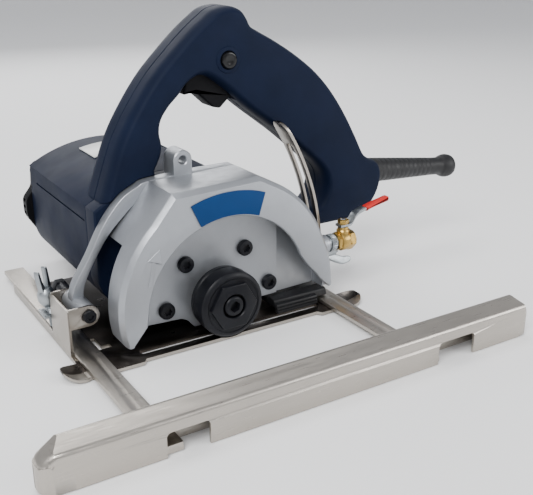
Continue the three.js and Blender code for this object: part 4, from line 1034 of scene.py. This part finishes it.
def make_rivets():
    for node in ("quadrant_rivet_1", "quadrant_rivet_2"):
        low, high = cad_box(node)
        under, centre = high.x - 1.7, ((low.y + high.y) / 2, (low.z + high.z) / 2)
        head = [(3 * cos(radians(a)), under + 1.7 * sin(radians(a))) for a in range(0, 90, 10)]
        profile = [(0, low.x), (1.6, low.x), (1.6, under)] + head + [(0, high.x)]
        stands_for(lathe(profile, "x", centre, 40), node)


make_splash_block()
make_pivot()
make_rivets()


# -------- parallel fence
def make_fence():
    low, high = cad_box("fence_channel")
    front, sheet = low.y, 1.5
    left, right, wrap = -131.8, 145, 17
    front_z, back_z = 19.3, 24.2
    back = -144.5
    outside = rounded([(back, 0), (back, back_z, 3), (front, front_z, 3), (front, 0)], 8)
    inside = rounded([(front + sheet, -1), (front + sheet, front_z - sheet + 0.3, 2),
                      (back - sheet, back_z - sheet - 0.3, 2), (back - sheet, -1)], 8)
    channel = prism(outside, left, right, "x")
    channel = cut(channel, prism(inside, left - 1, right + 1, "x"))
    curls, folds = [], []
    for start, end in ((left, low.x), (right, high.x)):
        side = 1 if end > start else -1
        root = start - side * 0.5

        def ring(thick, tip=end):
            return anticlockwise(rounded([
                (root - side * thick, front + thick), (tip - side * thick, front + thick, 9 - thick),
                (tip - side * thick, back - thick, 4.5 - thick),
                (root - side * thick, back - thick)], 12))
        curl = stack([(ring(0), 0), (ring(0), wrap)], "z")
        core = stack([(ring(sheet), -1), (ring(sheet), wrap + 1)], "z")
        slit = block((start - 40, front + 8.4, -1), (start + 40, front + 9.3, 13))
        sides = prism([(root, 0), (end, 1.2), (end, wrap - 3), (root, wrap)], front - 1, back + 1)
        curls.append(keep_inside(cut(curl, core, slit), sides))
        shares = ((13, 0), (14.6, 0.03), (16.4, 0.1), (18.6, 0.3), (21.4, 0.63), (24.2, 0.92))
        fold = stack([(ring(0, end + (start - end) * share), z) for z, share in shares], "z")
        folds.append(keep_inside(fold, prism(outside, low.x - 1, high.x + 1, "x")))
    channel = join(channel, *curls, *folds)
    cutters = []
    for x0, x1 in ((-87.7, -65), (80, 107)):
        notch = rounded([(x0, -1), (x1, -1), (x1, 13, 2.5), (x0, 13, 2.5)], 8)
        cutters.append(stack([(notch, front - 1), (notch, front + sheet + 3)]))
    for node in ("guide_arm_front", "guide_arm_rear"):
        arm_low, arm_high = cad_box(node)
        cutters.append(block((arm_low.x - GAP, back - 3, -1),
                             (arm_high.x + GAP, back + 1, arm_high.z + GAP)))
    channel = cut(channel, *cutters)
    bevel(channel, 0.22, 2, 40)
    stands_for(channel, "fence_channel", angle=30)


make_fence()


# -------- wing screw and wing nut
def make_wing(side):
    """One upright wing of the guide screw."""
    corners = [(1, 19, 0), (3.6, 19, 1), (4.5, 28, 3), (4.8, 36, 1.5), (4.2, 38.4, 1), (3, 38, 1),
               (2.3, 31, 2), (1, 25, 0)]
    outline = rounded([(side * x, z, radius) for x, z, radius in corners], 6)
    return prism(outline, -1.7, 1.7, edge=0.4, steps=2)


def make_guide_screw():
    cad = frame["nodes"]["guide_wing_screw"]
    tip = joint_place("guide_screw_turn")
    axis = Vector(JOINT["guide_screw_turn"]["axis"]).normalized()
    if axis.z < 0:
        axis = -axis
    wings_from = 28
    world = [cad.matrix_world @ vertex.co / MM for vertex in cad.data.vertices]
    along = [(point - tip).dot(axis) for point in world]
    start = min(along)
    across = [point - tip - axis * height
              for point, height in zip(world, along) if height > start + wings_from]
    widest = max(across, key=lambda v: v.length).normalized()
    frame_axes = Matrix((widest, axis.cross(widest), axis)).transposed().to_4x4()
    foot = tip + axis * start
    turn = Matrix.Translation(foot * MM) @ frame_axes
    profile = [(0, 0), (1.8, 0), (2.4, 0.8)]
    threads = 12
    for k in range(threads):
        profile += [(2.4, 1 + k), (2.1, 1.5 + k)]
    profile += [(2.4, 14), (3.2, 14.4), (4.3, 15.9), (5.1, 17.4), (5.6, 19.2), (5.6, 20.8), (5.2, 22.8),
                (4.3, 24.7), (3.2, 26), (0, 26)]
    shank = lathe(profile, "z", segments=56)
    screw = moved(join(shank, make_wing(-1), make_wing(1)), turn)
    stands_for(screw, "guide_wing_screw")


def make_depth_nut():
    start = cad_box("depth_wing_nut")[0].x
    turn = Matrix.Rotation(radians(62), 4, "X")
    there = Matrix.Translation(Vector((0, DEPTH_NUT.y, DEPTH_NUT.z)) * MM)
    wings_at = start + 6
    profile = [(3.2, start), (6.6, start), (7, start + 0.4), (7, start + 1.3), (6, start + 2),
               (5, start + 2.6), (4.4, wings_at + 3), (4.2, wings_at + 8.6), (3.9, wings_at + 9),
               (3.2, wings_at + 9), (3.2, start)]
    nut = lathe(profile, "x", segments=56)
    edge = [(0.5, 3.4), (8, 3.4), (14, 5.8), (19.4, 6.8), (20.6, 9.2), (18, 11), (12.5, 11.2), (6, 8.2),
            (1, 5.2)]
    wings = []
    for side in (-1, 1):
        outline = spline([(wings_at + x, side * z) for x, z in edge], 40)
        wings.append(prism(outline, -1.3, 1.3, "z", edge=0.8, steps=3))
    stands_for(moved(join(nut, *wings), there @ turn), "depth_wing_nut")


def make_depth_bolt():
    low, high = cad_box("depth_bolt")
    radius = (high.y - low.y) / 2
    profile = [(0, low.x), (radius, low.x)]
    pitch = 1.25
    for k in range(int((high.x - low.x - 8) / pitch)):
        x = low.x + 7 + pitch * k
        profile += [(radius, x), (radius - 0.45, x + 0.6)]
    profile += [(radius, high.x - 0.6), (radius - 0.6, high.x), (0, high.x)]
    stands_for(lathe(profile, "x", (DEPTH_NUT.y, DEPTH_NUT.z), 40), "depth_bolt")


make_guide_screw()
make_depth_nut()
make_depth_bolt()


# -------- water valve
def make_valve_body():
    low, high = cad_box("valve_body")
    start, end = low.x, high.x
    barrel = lathe([
        (0, start), (5.6, start), (5.6, start + 2.6), (6.3, start + 3.0), (6.6, start + 3.6),
        (6.6, end - 5.2), (6.3, end - 4.7), (5.8, end - 4.3), (5.8, end - 0.3), (5.4, end),
        (0, end)], "x", WATER_YZ, 72)
    nuts = [prism(polygon(6, 7, 0.2, WATER_YZ), end - 5, end - 0.8, "x", edge=0.4, steps=2),
            prism(polygon(6, 6.4, 0.5, WATER_YZ), start + 0.05, start + 2.4, "x", edge=0.3, steps=2)]
    neck = [(0, 0), (3.6, 0), (3.6, 8.9), (3.3, 9.6), (0, 9.6)]
    collar = [(0, 5), (4.2, 5), (4.4, 7), (3.9, 7.9), (0, 7.9)]
    rising = [lathe(shifted(profile, 0, STEM.z), "z", STEM_XY, 48) for profile in (neck, collar)]
    body = join(barrel, *nuts, *rising)
    through = lathe([(0, start - 1), (2.6, start - 1), (2.6, end - 0.6), (3.1, end + 0.1),
                     (3.1, end + 1), (0, end + 1)], "x", WATER_YZ, 40)
    chamber = lathe([(4.9 * sin(radians(a)), STEM.z - 4.9 * cos(radians(a)))
                     for a in range(0, 181, 10)], "z", STEM_XY, 40)
    stem_hole = drill(1.9, STEM.z + 9.6, STEM.z, STEM_XY, "z", 0.2)
    stands_for(cut(body, chamber, through, stem_hole), "valve_body")


def make_valve_ball():
    profile = [(4.6 * sin(radians(a)), STEM.z - 4.6 * cos(radians(a))) for a in range(0, 181, 9)]
    ball = lathe(profile, "z", STEM_XY, 40)
    stem = lathe([(0, STEM.z + 3), (1.6, STEM.z + 3), (1.6, STEM.z + 14.6), (1.2, STEM.z + 15),
                  (0, STEM.z + 15)], "z", STEM_XY, 32)
    through = cylinder(2.4, STEM.x - 8, STEM.x + 8, "x", WATER_YZ, 32)
    stands_for(cut(join(ball, stem), through), "valve_ball")


def make_fitting():
    low, high = cad_box("valve_fitting")
    tube = lathe([
        (2.2, low.x), (4.8, low.x), (4.8, high.x), (2.2, high.x), (2.2, low.x)], "x", WATER_YZ, 48)
    teeth = 28
    knurl = polygon(teeth * 2, 6.0, 0, WATER_YZ)
    knurl[::2] = polygon(teeth, 5.6, 0, WATER_YZ)
    sleeve = prism(knurl, low.x + 1.5, high.x - 1.2, "x", edge=0.3, steps=2)
    sleeve = cut(sleeve, cylinder(3.5, low.x, high.x, "x", WATER_YZ, 48))
    stands_for(join(tube, sleeve), "valve_fitting")


def make_lever():
    thick = 1.5
    rise = spline([(-4, 10), (0, 10), (4.2, 10.1), (6.4, 12.6), (8.6, 15.6), (12, 17.4), (16.5, 18.8)],
                  24)
    profile = rise + [(x, z + thick) for x, z in reversed(rise)]
    lever = prism(shifted(profile, STEM.x, STEM.z), STEM.y - 3.2, STEM.y + 3.2, edge=0.25, steps=2)
    hole = drill(1.9, STEM.z + 20, STEM.z + 5, STEM_XY, "z", 0)
    stands_for(cut(lever, hole), "valve_lever")
    line = spline([(16.9, 17.6), (25, 19.6), (36, 21.8)], 12)
    top = [(x, z + 3.1) for x, z in reversed(line)]
    grip = prism(shifted(rounded(
        [(x, z, 1.4 if i in (0, len(line) - 1, len(line), 2 * len(line) - 1) else 0)
         for i, (x, z) in enumerate(line + top)], 6), STEM.x, STEM.z),
        STEM.y - 2.9, STEM.y + 2.9, edge=1.4, steps=6)
    stands_for(grip, "lever_grip", angle=50)
    nut = prism(polygon(6, 3.8, 0.4, STEM_XY), STEM.z + 11.8, STEM.z + 14.6, "z", edge=(0.1, 0.5),
                steps=2)
    stands_for(cut(nut, drill(1.9, STEM.z + 14.6, STEM.z + 9, STEM_XY, "z", 0.2)), "valve_stem_nut")


make_valve_body()
make_valve_ball()
make_fitting()
make_lever()
